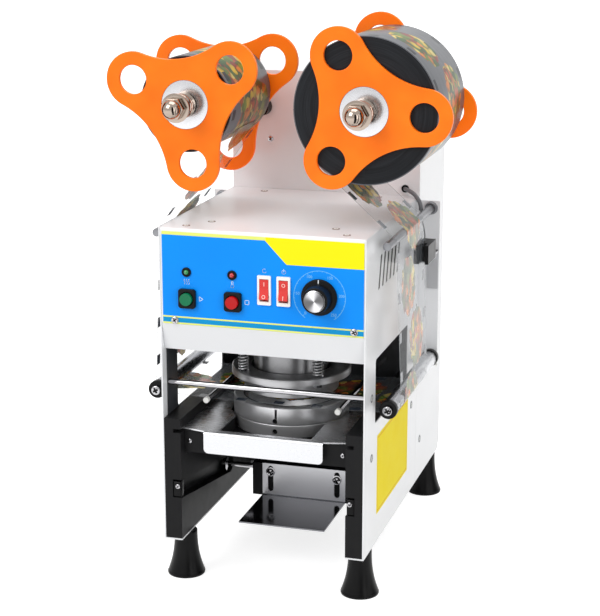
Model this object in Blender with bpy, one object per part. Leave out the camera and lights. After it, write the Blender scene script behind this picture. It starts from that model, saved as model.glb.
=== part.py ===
"""Bench-top cup sealing machine: sheet steel body, sliding cup tray, hot press, film reels.

Metres, +Z up. Inside the script x = 0 is the middle of the body, y = 0 is the face of the
control panel and z = 0 is the table. The empty "machine" then carries everything so that the
origin lies under the middle of the machine's overall box.
"""

from math import asin, atan2, cos, degrees, hypot, pi, radians, sin

import bmesh
import bpy
from mathutils import Matrix, Vector

# Fits
GAP = 0.0003                 # between parts that touch on the real machine
RUN = 0.0005                 # between parts that slide or turn

# Body, folded from sheet steel
SHEET = 0.0015
BODY_WIDTH = 0.220
FRONT_DEPTH = 0.241          # panel face to the bulkhead
REAR_DEPTH = 0.135           # housing behind the bulkhead
FOOT_HEIGHT = 0.0505
BODY_HEIGHT = 0.341          # feet to the top of the control box
TOWER_RISE = 0.1355          # tower above the control box
PANEL_HEIGHT = 0.100         # upright part of the front cover
APRON_HEIGHT = 0.0305        # part of the cover that leans back under the panel
APRON_SETBACK = 0.008
COVER_BEND = 0.003
FLANGE = 0.020               # side plate's foot, turned inward under the rail
BULKHEAD_SHEET = 0.002
EAR_WIDTH = 0.0235           # bulkhead beyond the side plates, for the film rollers
EAR_UNDER = 0.0113           # ear below the lower rollers' axes
EAR_DROP = 0.0044            # ear's top below the cover
HEEL_CHAMFER = 0.009         # housing's bottom rear corner

# Side windows for the film, and cooling slots
WINDOW_AHEAD = 0.064         # window's front edge before the die's centre
WINDOW_LENGTH = 0.148
WINDOW_UNDER = 0.0208        # window's sill below the lower rollers' axes
WINDOW_HEIGHT = 0.0695
WINDOW_RADIUS = 0.004
SLOT_COUNT = 6
SLOT_PITCH = 0.0162
SLOT_FIRST = 0.054
SLOT_DROP = 0.0615           # slots' lower ends below the cover
SLOT_HEIGHT = 0.032
SLOT_WIDTH = 0.0045
SLOT_LEAN = 0.010

# Feet
FOOT_IN = 0.012              # foot's axis inside the body's side
FOOT_FRONT = 0.033
FOOT_REAR_IN = 0.0245        # rear foot's axis before the body's back
FOOT_TOP_R = 0.0125
FOOT_BASE_R = 0.0205
FOOT_RIM = 0.003
FOOT_BORE_R = 0.006
FOOT_BORE_DEPTH = 0.018

# Rails and cup tray
RAIL_WIDTH = 0.0182
RAIL_RISE = 0.0118           # rail's top above the tray
RAIL_REAR_CLEAR = 0.005
TRAY_HEIGHT = 0.124          # tray's top above the feet
TRAY_SHEET = 0.0015
TRAY_STROKE = 0.140
TRAY_ENGAGE = 0.0082         # how far the tray reaches into the rails
TRAY_FRONT = 0.005
TRAY_REAR_CLEAR = 0.030      # tray's back before the bulkhead
TRAY_STRIP = 0.0055          # sheet left in front of the opening
WING_SETBACK = 0.008         # how far the tray's front corners slope back
LIP_WIDTH = 0.130
LIP_HEIGHT = 0.0235
LIP_FACE = 0.002
LIP_RADIUS = 0.003
LIP_CORNER = 0.005
TONGUE = 0.0016              # carriage's edge under the tray sheet
SLOT_PLAY = 0.0006
CARRIAGE_FRONT = 0.012
CARRIAGE_HEIGHT = 0.0257
CARRIAGE_FLOOR = 0.0124
CARRIAGE_WALL = 0.004        # in front of the pocket
POCKET_MARGIN = 0.0035       # round the die
POCKET_CHANNEL_OUT = 0.003   # opening's side outside the cup's, in front of the die

# Dies
DIE_LOWER = 0.0143
DIE_UPPER = 0.0187
CUP_RADIUS = 0.0475          # bore for a 95 mm cup
DIE_WALL = 0.0155
RIM_SEAT = 0.003             # step for the cup's rim, wide and deep
SEAL_STEP = 0.0025           # shallow step for the rubber round the rim
DIE_CHAMFER = 0.001
SET_SCREW_R = 0.0021
SET_SCREW_DEPTH = 0.009
SET_SCREW_ABOVE = 0.004      # upper set screw above the dies' joint
SET_SCREW_BELOW = 0.0074

# Cup lift
LIFT_RISE = 0.023
LIFT_BLOCK_WIDTH = 0.123
LIFT_BLOCK_DEPTH = 0.020
LIFT_BLOCK_HEIGHT = 0.0385
LIFT_BLOCK_BEHIND = 0.001    # crosshead behind the cup
LIFT_BLOCK_SINK = 0.001      # crosshead's bottom below the body's floor
LIFT_AXLE_R = 0.003
LIFT_AXLE_IN = 0.005         # axle behind the block's front face
LIFT_AXLE_UP = 0.0325
LIFT_WHEEL_R = 0.0095
LIFT_WHEEL_WIDTH = 0.006
GROOVE_DEPTH = 0.0098
LIFT_POST_R = 0.0035
LIFT_POST_X = 0.050
LIFT_POST_IN = 0.0142
LIFT_POST_IN_BLOCK = 0.0105  # posts' ends above the crosshead's bottom
BRACKET_WIDTH = 0.098
BRACKET_REACH = 0.089
BRACKET_HEIGHT = 0.0395
BRACKET_SLOT_X = 0.0393
BRACKET_SLOT_WIDTH = 0.0065
BRACKET_SLOT_LENGTH = 0.031
BRACKET_SLOT_UP = 0.006

# Press
HEAD_OPEN = 0.0073           # seal disc above the die at rest
SEAL_DISC_PLAY = 0.0003      # seal disc inside the die's bore
SEAL_DISC = 0.0057
HEATER_STEP = 0.0062         # heater inside the seal disc's edge
KNIFE_OUT = 0.0043           # knife outside the seal disc's edge
KNIFE_WALL = 0.0014
KNIFE_SHY = 0.0007           # knife's edge above the seal disc's face
KNIFE_PLATE_RIM = 0.0135     # knife plate outside the knife
KNIFE_PLATE_UP = 0.0171      # knife plate above the seal disc's face
KNIFE_PLATE = 0.008
PIN_OUT = 0.00719            # pins outside the knife
PIN_R = 0.003
PIN_HEAD_R = 0.0044
PIN_HEAD = 0.0033
PRESS_SPRING_R = 0.0052
PRESS_SPRING_WIRE = 0.0009
PRESS_SPRING_TURNS = 5
PRESS_SPRING_ROOM = 0.0366   # knife plate to press plate
PRESS_PLATE = 0.008
PRESS_PLATE_WIDTH = 0.124
PRESS_PLATE_CORNER = 0.012
PRESS_PLATE_REACH = 0.062    # press plate before the die's centre
COLUMN_X = 0.052
COLUMN_AHEAD = 0.041         # columns before the bulkhead
COLUMN_R = 0.005
BRACKET_UNDER = 0.022        # bracket below the press plate
BRACKET_TALL = 0.088
BRACKET_ARM = 0.010
BRACKET_BACK = 0.0085
BRACKET_DEPTH = 0.0527
YOKE_WIDTH = 0.048
YOKE_THICK = 0.006
YOKE_RISE = 0.036
YOKE_CORNER = 0.006
CRANK_RADIUS = 0.012
CRANK_PIN_R = 0.004
CRANK_PIN_PLAY = 0.0009
CRANK_DISC_R = 0.018
CRANK_DISC = 0.007
CRANK_UP = 0.020             # crank's axis above the press plate
CRANK_SHAFT_R = 0.004
MOTOR_BOX = 0.060
MOTOR_BOX_DEPTH = 0.032
MOTOR_R = 0.027
MOTOR_LENGTH = 0.055

# Film reels
REEL_IN = 0.015              # reel's axis inside the tower's side
REEL_DROP = 0.015            # reel's axis below the tower's top
REEL_AHEAD = 0.065           # front plate's face before the die's centre
REEL_PLATE = 0.005
ROLL_WIDTH = 0.130
LOBE_CIRCLE = 0.0615
LOBE_RADIUS = 0.029
LOBE_HOLE_R = 0.015
WAIST = 0.047
CORE_R = 0.038
PLUG_LENGTH = 0.012
PLUG_WALL = 0.006
WASHER_R = 0.0252
WASHER = 0.002
SUPPLY_R = 0.075
TAKEUP_R = 0.050
SHAFT_R = 0.006
COLLAR_R = 0.013
COLLAR = 0.008
REEL_SPRING_R = 0.0138
REEL_SPRING_WIRE = 0.0012
REEL_SPRING_TURNS = 5
REEL_SPRING_LENGTH = 0.026
NUT_FLAT = 0.0205            # across flats
NUT_THICK = 0.009
NUT_WASHER_R = 0.015
NUT_WASHER = 0.0018
DOME_R = 0.0088
DOME_NECK = 0.002
SUPPLY_FRONT_TURN = radians(-3.5)
SUPPLY_REAR_TURN = radians(-13.8)
TAKEUP_FRONT_TURN = radians(37.2)
TAKEUP_REAR_TURN = radians(32.1)

# Film and its rollers
FILM_IN = 0.002              # film's edge inside the roll's
FILM_WIDTH = 0.126
FILM_THICK = 0.0003
UPPER_ROD_OUT = 0.0137       # upper rod's axis outside the body
UPPER_ROD_DROP = 0.0125      # and below the cover's top
UPPER_ROD_R = 0.0045
ROLLER_OUT = 0.017           # lower roller's axis outside the body
ROLLER_UP = 0.0081           # and above the film rods
ROLLER_R = 0.0085
ROLLER_CAP_R = 0.0096
ROLLER_CAP = 0.008
ROLLER_WALL = 0.0012
ROLLER_AXLE_R = 0.003
ROLLER_AHEAD = 0.0213        # rods and rollers before the film's edge
ROLLER_REAR_CLEAR = 0.004
AXLE_SCREW_R = 0.0042
AXLE_SCREW = 0.002
FILM_ROD_CLEAR = 0.0076      # film rod's axis outside the knife plate
FILM_ROD_UNDER = 0.0011      # and below the seal disc's face
FILM_ROD_R = 0.0027
FILM_ROD_AHEAD = 0.0183
FILM_TIP_R = 0.0033
FILM_TIP = 0.006
CROSS_ROD_Y = 0.0165
CROSS_ROD_UP = 0.0149        # guard rod above the lower rollers' axes
CROSS_ROD_R = 0.003

# Control panel
LAMP_UP = 0.0049             # from the panel's middle, as the four below
GREEN_LAMP_X = -0.0798
RED_LAMP_X = -0.0305
LAMP_R = 0.005
LAMP_BEZEL = 0.002
LAMP_LENS_R = 0.0033
LAMP_LENS = 0.0022
LAMP_BARREL_R = 0.0036
LAMP_BARREL = 0.016
BUTTON_DOWN = 0.0227
START_X = -0.0789
STOP_X = -0.0294
BUTTON_BEZEL_WIDTH = 0.0186
BUTTON_BEZEL_HEIGHT = 0.0205
BUTTON_BEZEL = 0.0045
BUTTON_CORNER = 0.003
BUTTON_R = 0.0065
BUTTON_PROUD = 0.0035
BUTTON_TRAVEL = 0.0025
BUTTON_BARREL_R = 0.0083
BUTTON_BARREL = 0.022
ROCKER_DOWN = 0.0083
MODE_ROCKER_X = 0.0039
POWER_ROCKER_X = 0.0244
ROCKER_BEZEL_WIDTH = 0.0143
ROCKER_BEZEL_HEIGHT = 0.0307
ROCKER_BEZEL = 0.002
ROCKER_WIDTH = 0.0095
ROCKER_LENGTH = 0.0225
ROCKER_BODY_DEPTH = 0.020
ROCKER_TILT = radians(8)
ROCKER_PIVOT_DEPTH = 0.004
ROCKER_CROWN = 0.0034
KNOB_X = 0.0619
KNOB_DOWN = 0.0116
KNOB_R = 0.0188
KNOB_SKIRT = 0.0035
KNOB_GRIP_R = 0.0145
KNOB_LENGTH = 0.018
KNOB_CAP_R = 0.0112
KNOB_CAP = 0.0016
KNOB_SHAFT_R = 0.003
KNOB_SHAFT_IN = 0.008
THERMOSTAT_WIDTH = 0.034
THERMOSTAT_DEPTH = 0.022

# Film mark sensor on the right ear
SENSOR_OUT = 0.0107          # sensor's side outside the body
SENSOR_WIDTH = 0.0165
SENSOR_BODY = 0.0287         # sensor behind the film's edge
SENSOR_DROP = 0.048          # sensor's underside below the upper rod
SENSOR_HEIGHT = 0.021
SENSOR_SLOT_IN = 0.0060
SENSOR_SLOT = 0.0065
SENSOR_GRIP = 0.010          # how far the fork reaches over the film
SENSOR_ARM_WIDTH = 0.012
SENSOR_ARM = 0.002
SENSOR_PLATE_HEIGHT = 0.044
CABLE_R = 0.0024
CABLE_HOLE_IN = 0.0169       # hole's axis inside the body's side
CABLE_HOLE_UP = 0.008        # and above the cover
CABLE_TAIL = 0.012
CABLE_SIDES = 2
CABLE_SMOOTH = 4

# Inside the housing
DRIVE_BOX_LOW = 0.042        # take-up gearbox below its shaft
DRIVE_BOX_UP = 0.0115
DRIVE_BOX_WIDTH = 0.052
DRIVE_BOX_EDGE = 0.012
DRIVE_BOX_DEPTH = 0.019
DRIVE_CAN_R = 0.014
DRIVE_CAN = 0.038
BOSS_IN = 0.022              # boss from the take-up shaft, towards the middle
BOSS_DROP = 0.026
BOSS_R = 0.010
BOSS_PROUD = 0.014
BEARING_SIZE = 0.023
BEARING_DEPTH = 0.016
INLET_X = 0.055
INLET_UP = 0.0545            # inlet above the feet
INLET_WIDTH = 0.028
INLET_HEIGHT = 0.022
INLET_DEPTH = 0.020
INLET_FLANGE = 0.004
INLET_FLANGE_THICK = 0.0025
BACK_SLOTS = 5
BACK_SLOT_PITCH = 0.013
BACK_SLOT_LENGTH = 0.090
BACK_SLOT_DROP = 0.0015      # lowest slot below the cover's level

# Roundness
FINE = 30
MEDIUM = 14
SMALL = 8
ARC = 4

# What follows from the sizes above: the body
HALF = BODY_WIDTH / 2
INNER = HALF - SHEET
COVER_TOP = FOOT_HEIGHT + BODY_HEIGHT
TOWER_TOP = COVER_TOP + TOWER_RISE
BULKHEAD_BACK = FRONT_DEPTH + BULKHEAD_SHEET
BODY_BACK = FRONT_DEPTH + REAR_DEPTH
PANEL_LOW = COVER_TOP - PANEL_HEIGHT
PANEL_MIDDLE = COVER_TOP - PANEL_HEIGHT / 2
APRON_LOW = PANEL_LOW - APRON_HEIGHT
EAR_TOP = COVER_TOP - EAR_DROP
SLOT_LOW = COVER_TOP - SLOT_DROP
FOOT_X = HALF - FOOT_IN
FOOT_REAR = BODY_BACK - FOOT_REAR_IN

# Tray, carriage and dies
RAIL_INNER = INNER - GAP - RAIL_WIDTH
RAIL_LOW = FOOT_HEIGHT + SHEET + GAP
TRAY_TOP = FOOT_HEIGHT + TRAY_HEIGHT
RAIL_TOP = TRAY_TOP + RAIL_RISE
TRAY_UNDER = TRAY_TOP - TRAY_SHEET
TRAY_BACK = FRONT_DEPTH - TRAY_REAR_CLEAR
TRAY_HALF = RAIL_INNER + TRAY_ENGAGE
LIP_BOTTOM = TRAY_TOP - LIP_HEIGHT
CARRIAGE_TOP = TRAY_UNDER - GAP
CARRIAGE_LOW = CARRIAGE_TOP - CARRIAGE_HEIGHT
FLOOR_TOP = CARRIAGE_LOW + CARRIAGE_FLOOR
DIE_Y = (TRAY_FRONT + TRAY_BACK) / 2
DIE_LOW = FLOOR_TOP + GAP
DIE_JOINT = DIE_LOW + DIE_LOWER
DIE_TOP = DIE_JOINT + GAP + DIE_UPPER
DIE_RADIUS = CUP_RADIUS + DIE_WALL
POCKET_R = DIE_RADIUS + POCKET_MARGIN
POCKET_CHANNEL = CUP_RADIUS + POCKET_CHANNEL_OUT
WINDOW_FRONT = DIE_Y - WINDOW_AHEAD

# Cup lift
LIFT_BLOCK_Y = DIE_Y + CUP_RADIUS + LIFT_BLOCK_BEHIND
LIFT_BLOCK_Z = FOOT_HEIGHT - LIFT_BLOCK_SINK
LIFT_AXLE_Y = LIFT_BLOCK_Y + LIFT_AXLE_IN
LIFT_AXLE_Z = LIFT_BLOCK_Z + LIFT_AXLE_UP
LIFT_POST_Y = LIFT_BLOCK_Y + LIFT_POST_IN
LIFT_POST_LOW = LIFT_BLOCK_Z + LIFT_POST_IN_BLOCK

# Press
SEAL_DISC_R = CUP_RADIUS - SEAL_DISC_PLAY
HEATER_R = SEAL_DISC_R - HEATER_STEP
KNIFE_R = SEAL_DISC_R + KNIFE_OUT
KNIFE_PLATE_R = KNIFE_R + KNIFE_PLATE_RIM
PIN_OFFSET = (KNIFE_R + PIN_OUT) * sin(pi / 4)
HEAD_BOTTOM = DIE_TOP + HEAD_OPEN
KNIFE_LOW = HEAD_BOTTOM + KNIFE_SHY
KNIFE_PLATE_LOW = HEAD_BOTTOM + KNIFE_PLATE_UP
PRESS_PLATE_LOW = KNIFE_PLATE_LOW + KNIFE_PLATE + PRESS_SPRING_ROOM
PRESS_PLATE_TOP = PRESS_PLATE_LOW + PRESS_PLATE
PRESS_PLATE_FRONT = DIE_Y - PRESS_PLATE_REACH
COLUMN_Y = FRONT_DEPTH - COLUMN_AHEAD
BRACKET_LOW = PRESS_PLATE_LOW - BRACKET_UNDER
CRANK_Z = PRESS_PLATE_TOP + CRANK_UP
YOKE_Y = COLUMN_Y + COLUMN_R + 6 * RUN
CRANK_Y = YOKE_Y + YOKE_THICK + 8 * RUN
PRESS_PLATE_BACK = YOKE_Y + YOKE_THICK + RUN

# Reels, film and its guides
REEL_X = HALF - REEL_IN
REEL_Z = TOWER_TOP - REEL_DROP
REEL_FRONT = DIE_Y - REEL_AHEAD
ROLL_FRONT = REEL_FRONT + REEL_PLATE + GAP
ROLL_BACK = ROLL_FRONT + ROLL_WIDTH
REEL_BACK = ROLL_BACK + GAP + REEL_PLATE
FILM_FRONT = ROLL_FRONT + FILM_IN
FILM_BACK = FILM_FRONT + FILM_WIDTH
FILM_ROD_X = KNIFE_PLATE_R + FILM_ROD_CLEAR
FILM_ROD_Z = HEAD_BOTTOM - FILM_ROD_UNDER
FILM_ROD_FRONT = FILM_FRONT - FILM_ROD_AHEAD
ROLLER_X = HALF + ROLLER_OUT
ROLLER_Z = FILM_ROD_Z + ROLLER_UP
ROLLER_FRONT = FILM_FRONT - ROLLER_AHEAD
UPPER_ROD_X = HALF + UPPER_ROD_OUT
UPPER_ROD_Z = COVER_TOP - UPPER_ROD_DROP
CROSS_ROD_Z = ROLLER_Z + CROSS_ROD_UP
EAR_LOW = ROLLER_Z - EAR_UNDER
WINDOW_LOW = ROLLER_Z - WINDOW_UNDER

# Panel, sensor and rear parts
TRIM_Y = -GAP                # backs of the bezels
LAMP_Z = PANEL_MIDDLE + LAMP_UP
BUTTON_Z = PANEL_MIDDLE - BUTTON_DOWN
ROCKER_Z = PANEL_MIDDLE - ROCKER_DOWN
KNOB_Z = PANEL_MIDDLE - KNOB_DOWN
SENSOR_X = HALF + SENSOR_OUT
SENSOR_REAR = FILM_BACK + SENSOR_BODY
SENSOR_Z = UPPER_ROD_Z - SENSOR_DROP
CABLE_HOLE_X = HALF - CABLE_HOLE_IN
CABLE_HOLE_Z = COVER_TOP + CABLE_HOLE_UP
BOSS_X = BOSS_IN - REEL_X
BOSS_Z = REEL_Z - BOSS_DROP
INLET_Z = FOOT_HEIGHT + INLET_UP
BACK_SLOT_LOW = COVER_TOP - BACK_SLOT_DROP


def arc(centre, radius, start, end, count=ARC):
    """Points along a circular arc, both ends included, angles in radians."""
    step = (end - start) / count
    return [(centre[0] + radius * cos(start + step * i), centre[1] + radius * sin(start + step * i))
            for i in range(count + 1)]


def circle(centre, radius, count=MEDIUM):
    """A closed ring of points."""
    return arc(centre, radius, 0, 2 * pi, count)[:-1]


def rectangle(low_u, high_u, low_v, high_v):
    return [(low_u, low_v), (high_u, low_v), (high_u, high_v), (low_u, high_v)]


def rounded_rectangle(low_u, high_u, low_v, high_v, radius, count=ARC):
    """A rectangle whose corners are quarter circles."""
    corners = [((high_u - radius, low_v + radius), -pi / 2), ((high_u - radius, high_v - radius), 0),
               ((low_u + radius, high_v - radius), pi / 2), ((low_u + radius, low_v + radius), pi)]
    return [point for centre, start in corners
            for point in arc(centre, radius, start, start + pi / 2, count)]


def capsule(start, end, half_width, count=ARC):
    """A slot with round ends round the line from start to end."""
    along = atan2(end[1] - start[1], end[0] - start[0])
    return (arc(end, half_width, along - pi / 2, along + pi / 2, count)
            + arc(start, half_width, along + pi / 2, along + 3 * pi / 2, count))


def folded(line, thickness):
    """Closed outline of a sheet: the line is its outer face, the thickness lies to the left."""
    inner = []
    for i, point in enumerate(line):
        here = Vector(point)
        before = (here - Vector(line[i - 1])).normalized() if i else None
        after = (Vector(line[i + 1]) - here).normalized() if i + 1 < len(line) else None
        before = before or after
        after = after or before
        left = (Vector((-before.y, before.x)) + Vector((-after.y, after.x))).normalized()
        mitre = thickness / max(left.dot(Vector((-before.y, before.x))), 0.3)
        inner.append(tuple(here + left * mitre))
    return list(line) + inner[::-1]


AXES = {"x": lambda u, v, w: (w, u, v), "y": lambda u, v, w: (u, w, v), "z": lambda u, v, w: (u, v, w)}


def closed(bm):
    bmesh.ops.recalc_face_normals(bm, faces=bm.faces)
    return bm


def plate(outline, low, high, axis, holes=()):
    """Flat outline with holes, extruded along an axis."""
    bm = bmesh.new()
    edges = []
    for ring in [outline, *holes]:
        verts = [bm.verts.new(AXES[axis](u, v, low)) for u, v in ring]
        edges += [bm.edges.new((verts[i - 1], verts[i])) for i in range(len(verts))]
    bmesh.ops.triangle_fill(bm, use_beauty=True, edges=edges)
    grown = bmesh.ops.extrude_face_region(bm, geom=bm.faces[:])
    moved = [item for item in grown["geom"] if isinstance(item, bmesh.types.BMVert)]
    bmesh.ops.translate(bm, verts=moved, vec=AXES[axis](0, 0, high - low))
    return closed(bm)


def box(low_x, high_x, low_y, high_y, low_z, high_z):
    return plate(rectangle(low_x, high_x, low_y, high_y), low_z, high_z, "z")


def turned(profile, axis, centre, segments=FINE, ring=False):
    """A profile of (radius, height) points turned about an axis; a ring's profile closes on itself."""
    bm = bmesh.new()
    columns = []
    for step in range(segments):
        angle = 2 * pi * step / segments
        columns.append([(radius * cos(angle), radius * sin(angle), height) for radius, height in profile])
    poles = {}
    grid = []
    for column in columns:
        row = []
        for index, (u, v, height) in enumerate(column):
            on_axis = profile[index][0] == 0
            if on_axis and index in poles:
                row.append(poles[index])
                continue
            place = Vector(AXES[axis](u, v, height)) + Vector(centre)
            vert = bm.verts.new(place)
            row.append(vert)
            if on_axis:
                poles[index] = vert
        grid.append(row)
    last = len(profile) if ring else len(profile) - 1
    for step in range(segments):
        here, there = grid[step - 1], grid[step]
        for index in range(last):
            after = (index + 1) % len(profile)
            loop = [here[index], there[index], there[after], here[after]]
            corners = [vert for i, vert in enumerate(loop) if vert is not loop[i - 1]]
            bm.faces.new(corners)
    return closed(bm)


def rod(radius, low, high, axis, centre, segments=MEDIUM):
    """A round bar with flat ends; the axis's own coordinate of the centre is zero."""
    return turned([(0, low), (radius, low), (radius, high), (0, high)], axis, centre, segments)


def pipe(outer, inner, low, high, axis, centre, segments=FINE):
    return turned([(inner, low), (outer, low), (outer, high), (inner, high)], axis, centre, segments, True)


def coil(radius, wire, turns, low, high, axis, centre, steps=8, sides=4):
    """A round-wire helical spring as one closed body with flat-capped ends."""
    bm = bmesh.new()
    count = int(turns * steps)
    rings = []
    for i in range(count + 1):
        angle = 2 * pi * i / steps
        height = low + wire + (high - low - 2 * wire) * i / count
        ring = []
        for j in range(sides):
            turn = 2 * pi * j / sides
            reach = radius + wire * cos(turn)
            spot = AXES[axis](reach * cos(angle), reach * sin(angle), height + wire * sin(turn))
            ring.append(bm.verts.new(Vector(spot) + Vector(centre)))
        rings.append(ring)
    for here, there in zip(rings, rings[1:]):
        for j in range(sides):
            bm.faces.new((here[j - 1], here[j], there[j], there[j - 1]))
    bm.faces.new(rings[0])
    bm.faces.new(rings[-1])
    return closed(bm)


def together(*parts):
    """Several bodies in one mesh, left separate."""
    joined = bmesh.new()
    for part in parts:
        mesh = bpy.data.meshes.new("part")
        part.to_mesh(mesh)
        part.free()
        joined.from_mesh(mesh)
        bpy.data.meshes.remove(mesh)
    return joined


def boolean(target, tool, operation):
    """Exact Boolean of two closed bmeshes."""
    objects = []
    for bm in (target, tool):
        mesh = bpy.data.meshes.new("shape")
        bm.to_mesh(mesh)
        bm.free()
        objects.append(bpy.data.objects.new("shape", mesh))
        bpy.context.scene.collection.objects.link(objects[-1])
    modifier = objects[0].modifiers.new("cut", "BOOLEAN")
    modifier.operation = operation
    modifier.solver = "EXACT"
    modifier.object = objects[1]
    result = bmesh.new()
    result.from_object(objects[0], bpy.context.evaluated_depsgraph_get())
    for item in objects:
        mesh = item.data
        bpy.data.objects.remove(item)
        bpy.data.meshes.remove(mesh)
    return result


def cut(target, *tools):
    for tool in tools:
        target = boolean(target, tool, "DIFFERENCE")
    return target


def fuse(first, *others):
    for other in others:
        first = boolean(first, other, "UNION")
    return first


def mirrored(bm):
    """The same shape on the other side of the middle plane."""
    bmesh.ops.scale(bm, vec=(-1, 1, 1), verts=bm.verts)
    return closed(bm)


class Finish:
    """The plain materials, one made per node."""

    WHITE = ((0.86, 0.87, 0.88), 0.35, 0.0)
    STEEL = ((0.62, 0.62, 0.62), 0.28, 1.0)
    BRIGHT = ((0.80, 0.80, 0.82), 0.12, 1.0)
    ALUMINIUM = ((0.72, 0.73, 0.75), 0.35, 1.0)
    BLACK = ((0.025, 0.025, 0.028), 0.5, 0.0)
    RUBBER = ((0.02, 0.02, 0.02), 0.75, 0.0)
    ORANGE = ((0.95, 0.29, 0.03), 0.3, 0.0)
    FILM = ((0.75, 0.78, 0.76), 0.2, 0.0)
    GREEN = ((0.02, 0.45, 0.16), 0.3, 0.0)
    RED = ((0.75, 0.03, 0.03), 0.3, 0.0)
    CREAM = ((0.85, 0.84, 0.78), 0.4, 0.0)
    CABLE = ((0.35, 0.36, 0.37), 0.5, 0.0)


def empty(name, location, parent=None):
    pivot = bpy.data.objects.new(name, None)
    bpy.context.scene.collection.objects.link(pivot)
    pivot.location = location
    pivot.parent = parent
    return pivot


def node(name, bm, finish, pivot):
    """One named piece, with its origin on its body's pivot."""
    mesh = bpy.data.meshes.new(name)
    bm.to_mesh(mesh)
    bm.free()
    anchor = Vector(pivot.location) if pivot.parent else Vector()
    mesh.transform(Matrix.Translation(-anchor))
    mesh.shade_smooth()
    mesh.set_sharp_from_angle(angle=radians(30))
    colour, roughness, metallic = finish
    material = bpy.data.materials.new(name)
    material.use_nodes = True
    shader = material.node_tree.nodes["Principled BSDF"]
    shader.inputs["Base Color"].default_value = (*colour, 1)
    shader.inputs["Roughness"].default_value = roughness
    shader.inputs["Metallic"].default_value = metallic
    mesh.materials.append(material)
    piece = bpy.data.objects.new(name, mesh)
    bpy.context.scene.collection.objects.link(piece)
    piece.parent = pivot
    return piece


def side_plate(name, machine):
    """Upright sheet with its bottom edge turned inward under the rail."""
    section = folded([(HALF - FLANGE, FOOT_HEIGHT), (HALF, FOOT_HEIGHT), (HALF, COVER_TOP)], SHEET)
    body = plate(section, 0, FRONT_DEPTH - GAP, "y")
    window = rounded_rectangle(WINDOW_FRONT, WINDOW_FRONT + WINDOW_LENGTH,
                               WINDOW_LOW, WINDOW_LOW + WINDOW_HEIGHT, WINDOW_RADIUS)
    tools = [plate(window, INNER - SHEET, HALF + SHEET, "x")]
    for i in range(SLOT_COUNT):
        low = (SLOT_FIRST + i * SLOT_PITCH, SLOT_LOW)
        high = (low[0] + SLOT_LEAN, SLOT_LOW + SLOT_HEIGHT)
        tools.append(plate(capsule(low, high, SLOT_WIDTH / 2, 4), INNER - SHEET, HALF + SHEET, "x"))
    body = cut(body, together(*tools))
    if name.startswith("left"):
        body = mirrored(body)
    node(name, body, Finish.WHITE, machine)


def panel_holes(low_y, high_y, grow):
    """Cutters for everything that passes through the panel."""
    tools = []
    for x in (GREEN_LAMP_X, RED_LAMP_X):
        tools.append(rod(LAMP_BARREL_R + grow, low_y, high_y, "y", (x, 0, LAMP_Z)))
    for x in (START_X, STOP_X):
        tools.append(rod(BUTTON_BARREL_R + grow, low_y, high_y, "y", (x, 0, BUTTON_Z)))
    for x in (MODE_ROCKER_X, POWER_ROCKER_X):
        wide = (ROCKER_WIDTH + ROCKER_BEZEL_WIDTH) / 4 + grow
        tall = (ROCKER_LENGTH + ROCKER_BEZEL_HEIGHT) / 4 + grow
        opening = rectangle(x - wide, x + wide, ROCKER_Z - tall, ROCKER_Z + tall)
        tools.append(plate(opening, low_y, high_y, "y"))
    tools.append(rod(KNOB_SHAFT_R + grow, low_y, high_y, "y", (KNOB_X, 0, KNOB_Z)))
    return together(*tools)


def front_cover(machine):
    """Top, panel and leaning apron, folded from one sheet between the side plates."""
    half = INNER - GAP
    bend = arc((COVER_BEND, COVER_TOP - COVER_BEND), COVER_BEND, pi / 2, pi, 4)
    line = [(FRONT_DEPTH - GAP, COVER_TOP), *bend, (0, PANEL_LOW), (APRON_SETBACK, APRON_LOW)]
    body = plate(folded(line, SHEET), -half, half, "x")
    node("front_cover", cut(body, panel_holes(-SHEET, 2 * SHEET, GAP)), Finish.WHITE, machine)


def bulkhead(machine):
    """Main upright sheet: it carries the ears, reels and press, and its foot is the rear floor."""
    ear = HALF + EAR_WIDTH
    right = [(HALF, FOOT_HEIGHT), (HALF, EAR_LOW), (ear, EAR_LOW), (ear, EAR_TOP), (HALF, EAR_TOP),
             (HALF, TOWER_TOP)]
    outline = right + [(-x, z) for x, z in reversed(right)]
    holes = [circle((-REEL_X, REEL_Z), SHAFT_R + RUN), circle((0, CRANK_Z), CRANK_SHAFT_R + 2 * RUN),
             circle((BOSS_X, BOSS_Z), BOSS_R + GAP),
             circle((CABLE_HOLE_X, CABLE_HOLE_Z), CABLE_R + 2 * RUN)]
    upright = plate(outline, FRONT_DEPTH, BULKHEAD_BACK, "y", holes)
    floor = box(GAP - INNER, INNER - GAP, FRONT_DEPTH + SHEET, BODY_BACK - SHEET - GAP,
                FOOT_HEIGHT, FOOT_HEIGHT + SHEET)
    half = BEARING_SIZE / 2
    inside = BULKHEAD_BACK - BULKHEAD_SHEET / 2
    bearing = box(REEL_X - half, REEL_X + half, inside, BULKHEAD_BACK + BEARING_DEPTH,
                  REEL_Z - half, REEL_Z + half)
    bore = rod(SHAFT_R + RUN, FRONT_DEPTH - SHEET, BULKHEAD_BACK + BEARING_DEPTH + SHEET, "y",
               (REEL_X, 0, REEL_Z))
    head = ROLLER_FRONT - RUN
    profile = [(0, head - AXLE_SCREW), (AXLE_SCREW_R, head - AXLE_SCREW), (AXLE_SCREW_R, head),
               (ROLLER_AXLE_R, head), (ROLLER_AXLE_R, inside), (0, inside)]
    axles = [turned(profile, "y", (x, 0, ROLLER_Z), SMALL) for x in (-ROLLER_X, ROLLER_X)]
    node("bulkhead", cut(fuse(upright, floor, bearing, *axles), bore), Finish.WHITE, machine)


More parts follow.
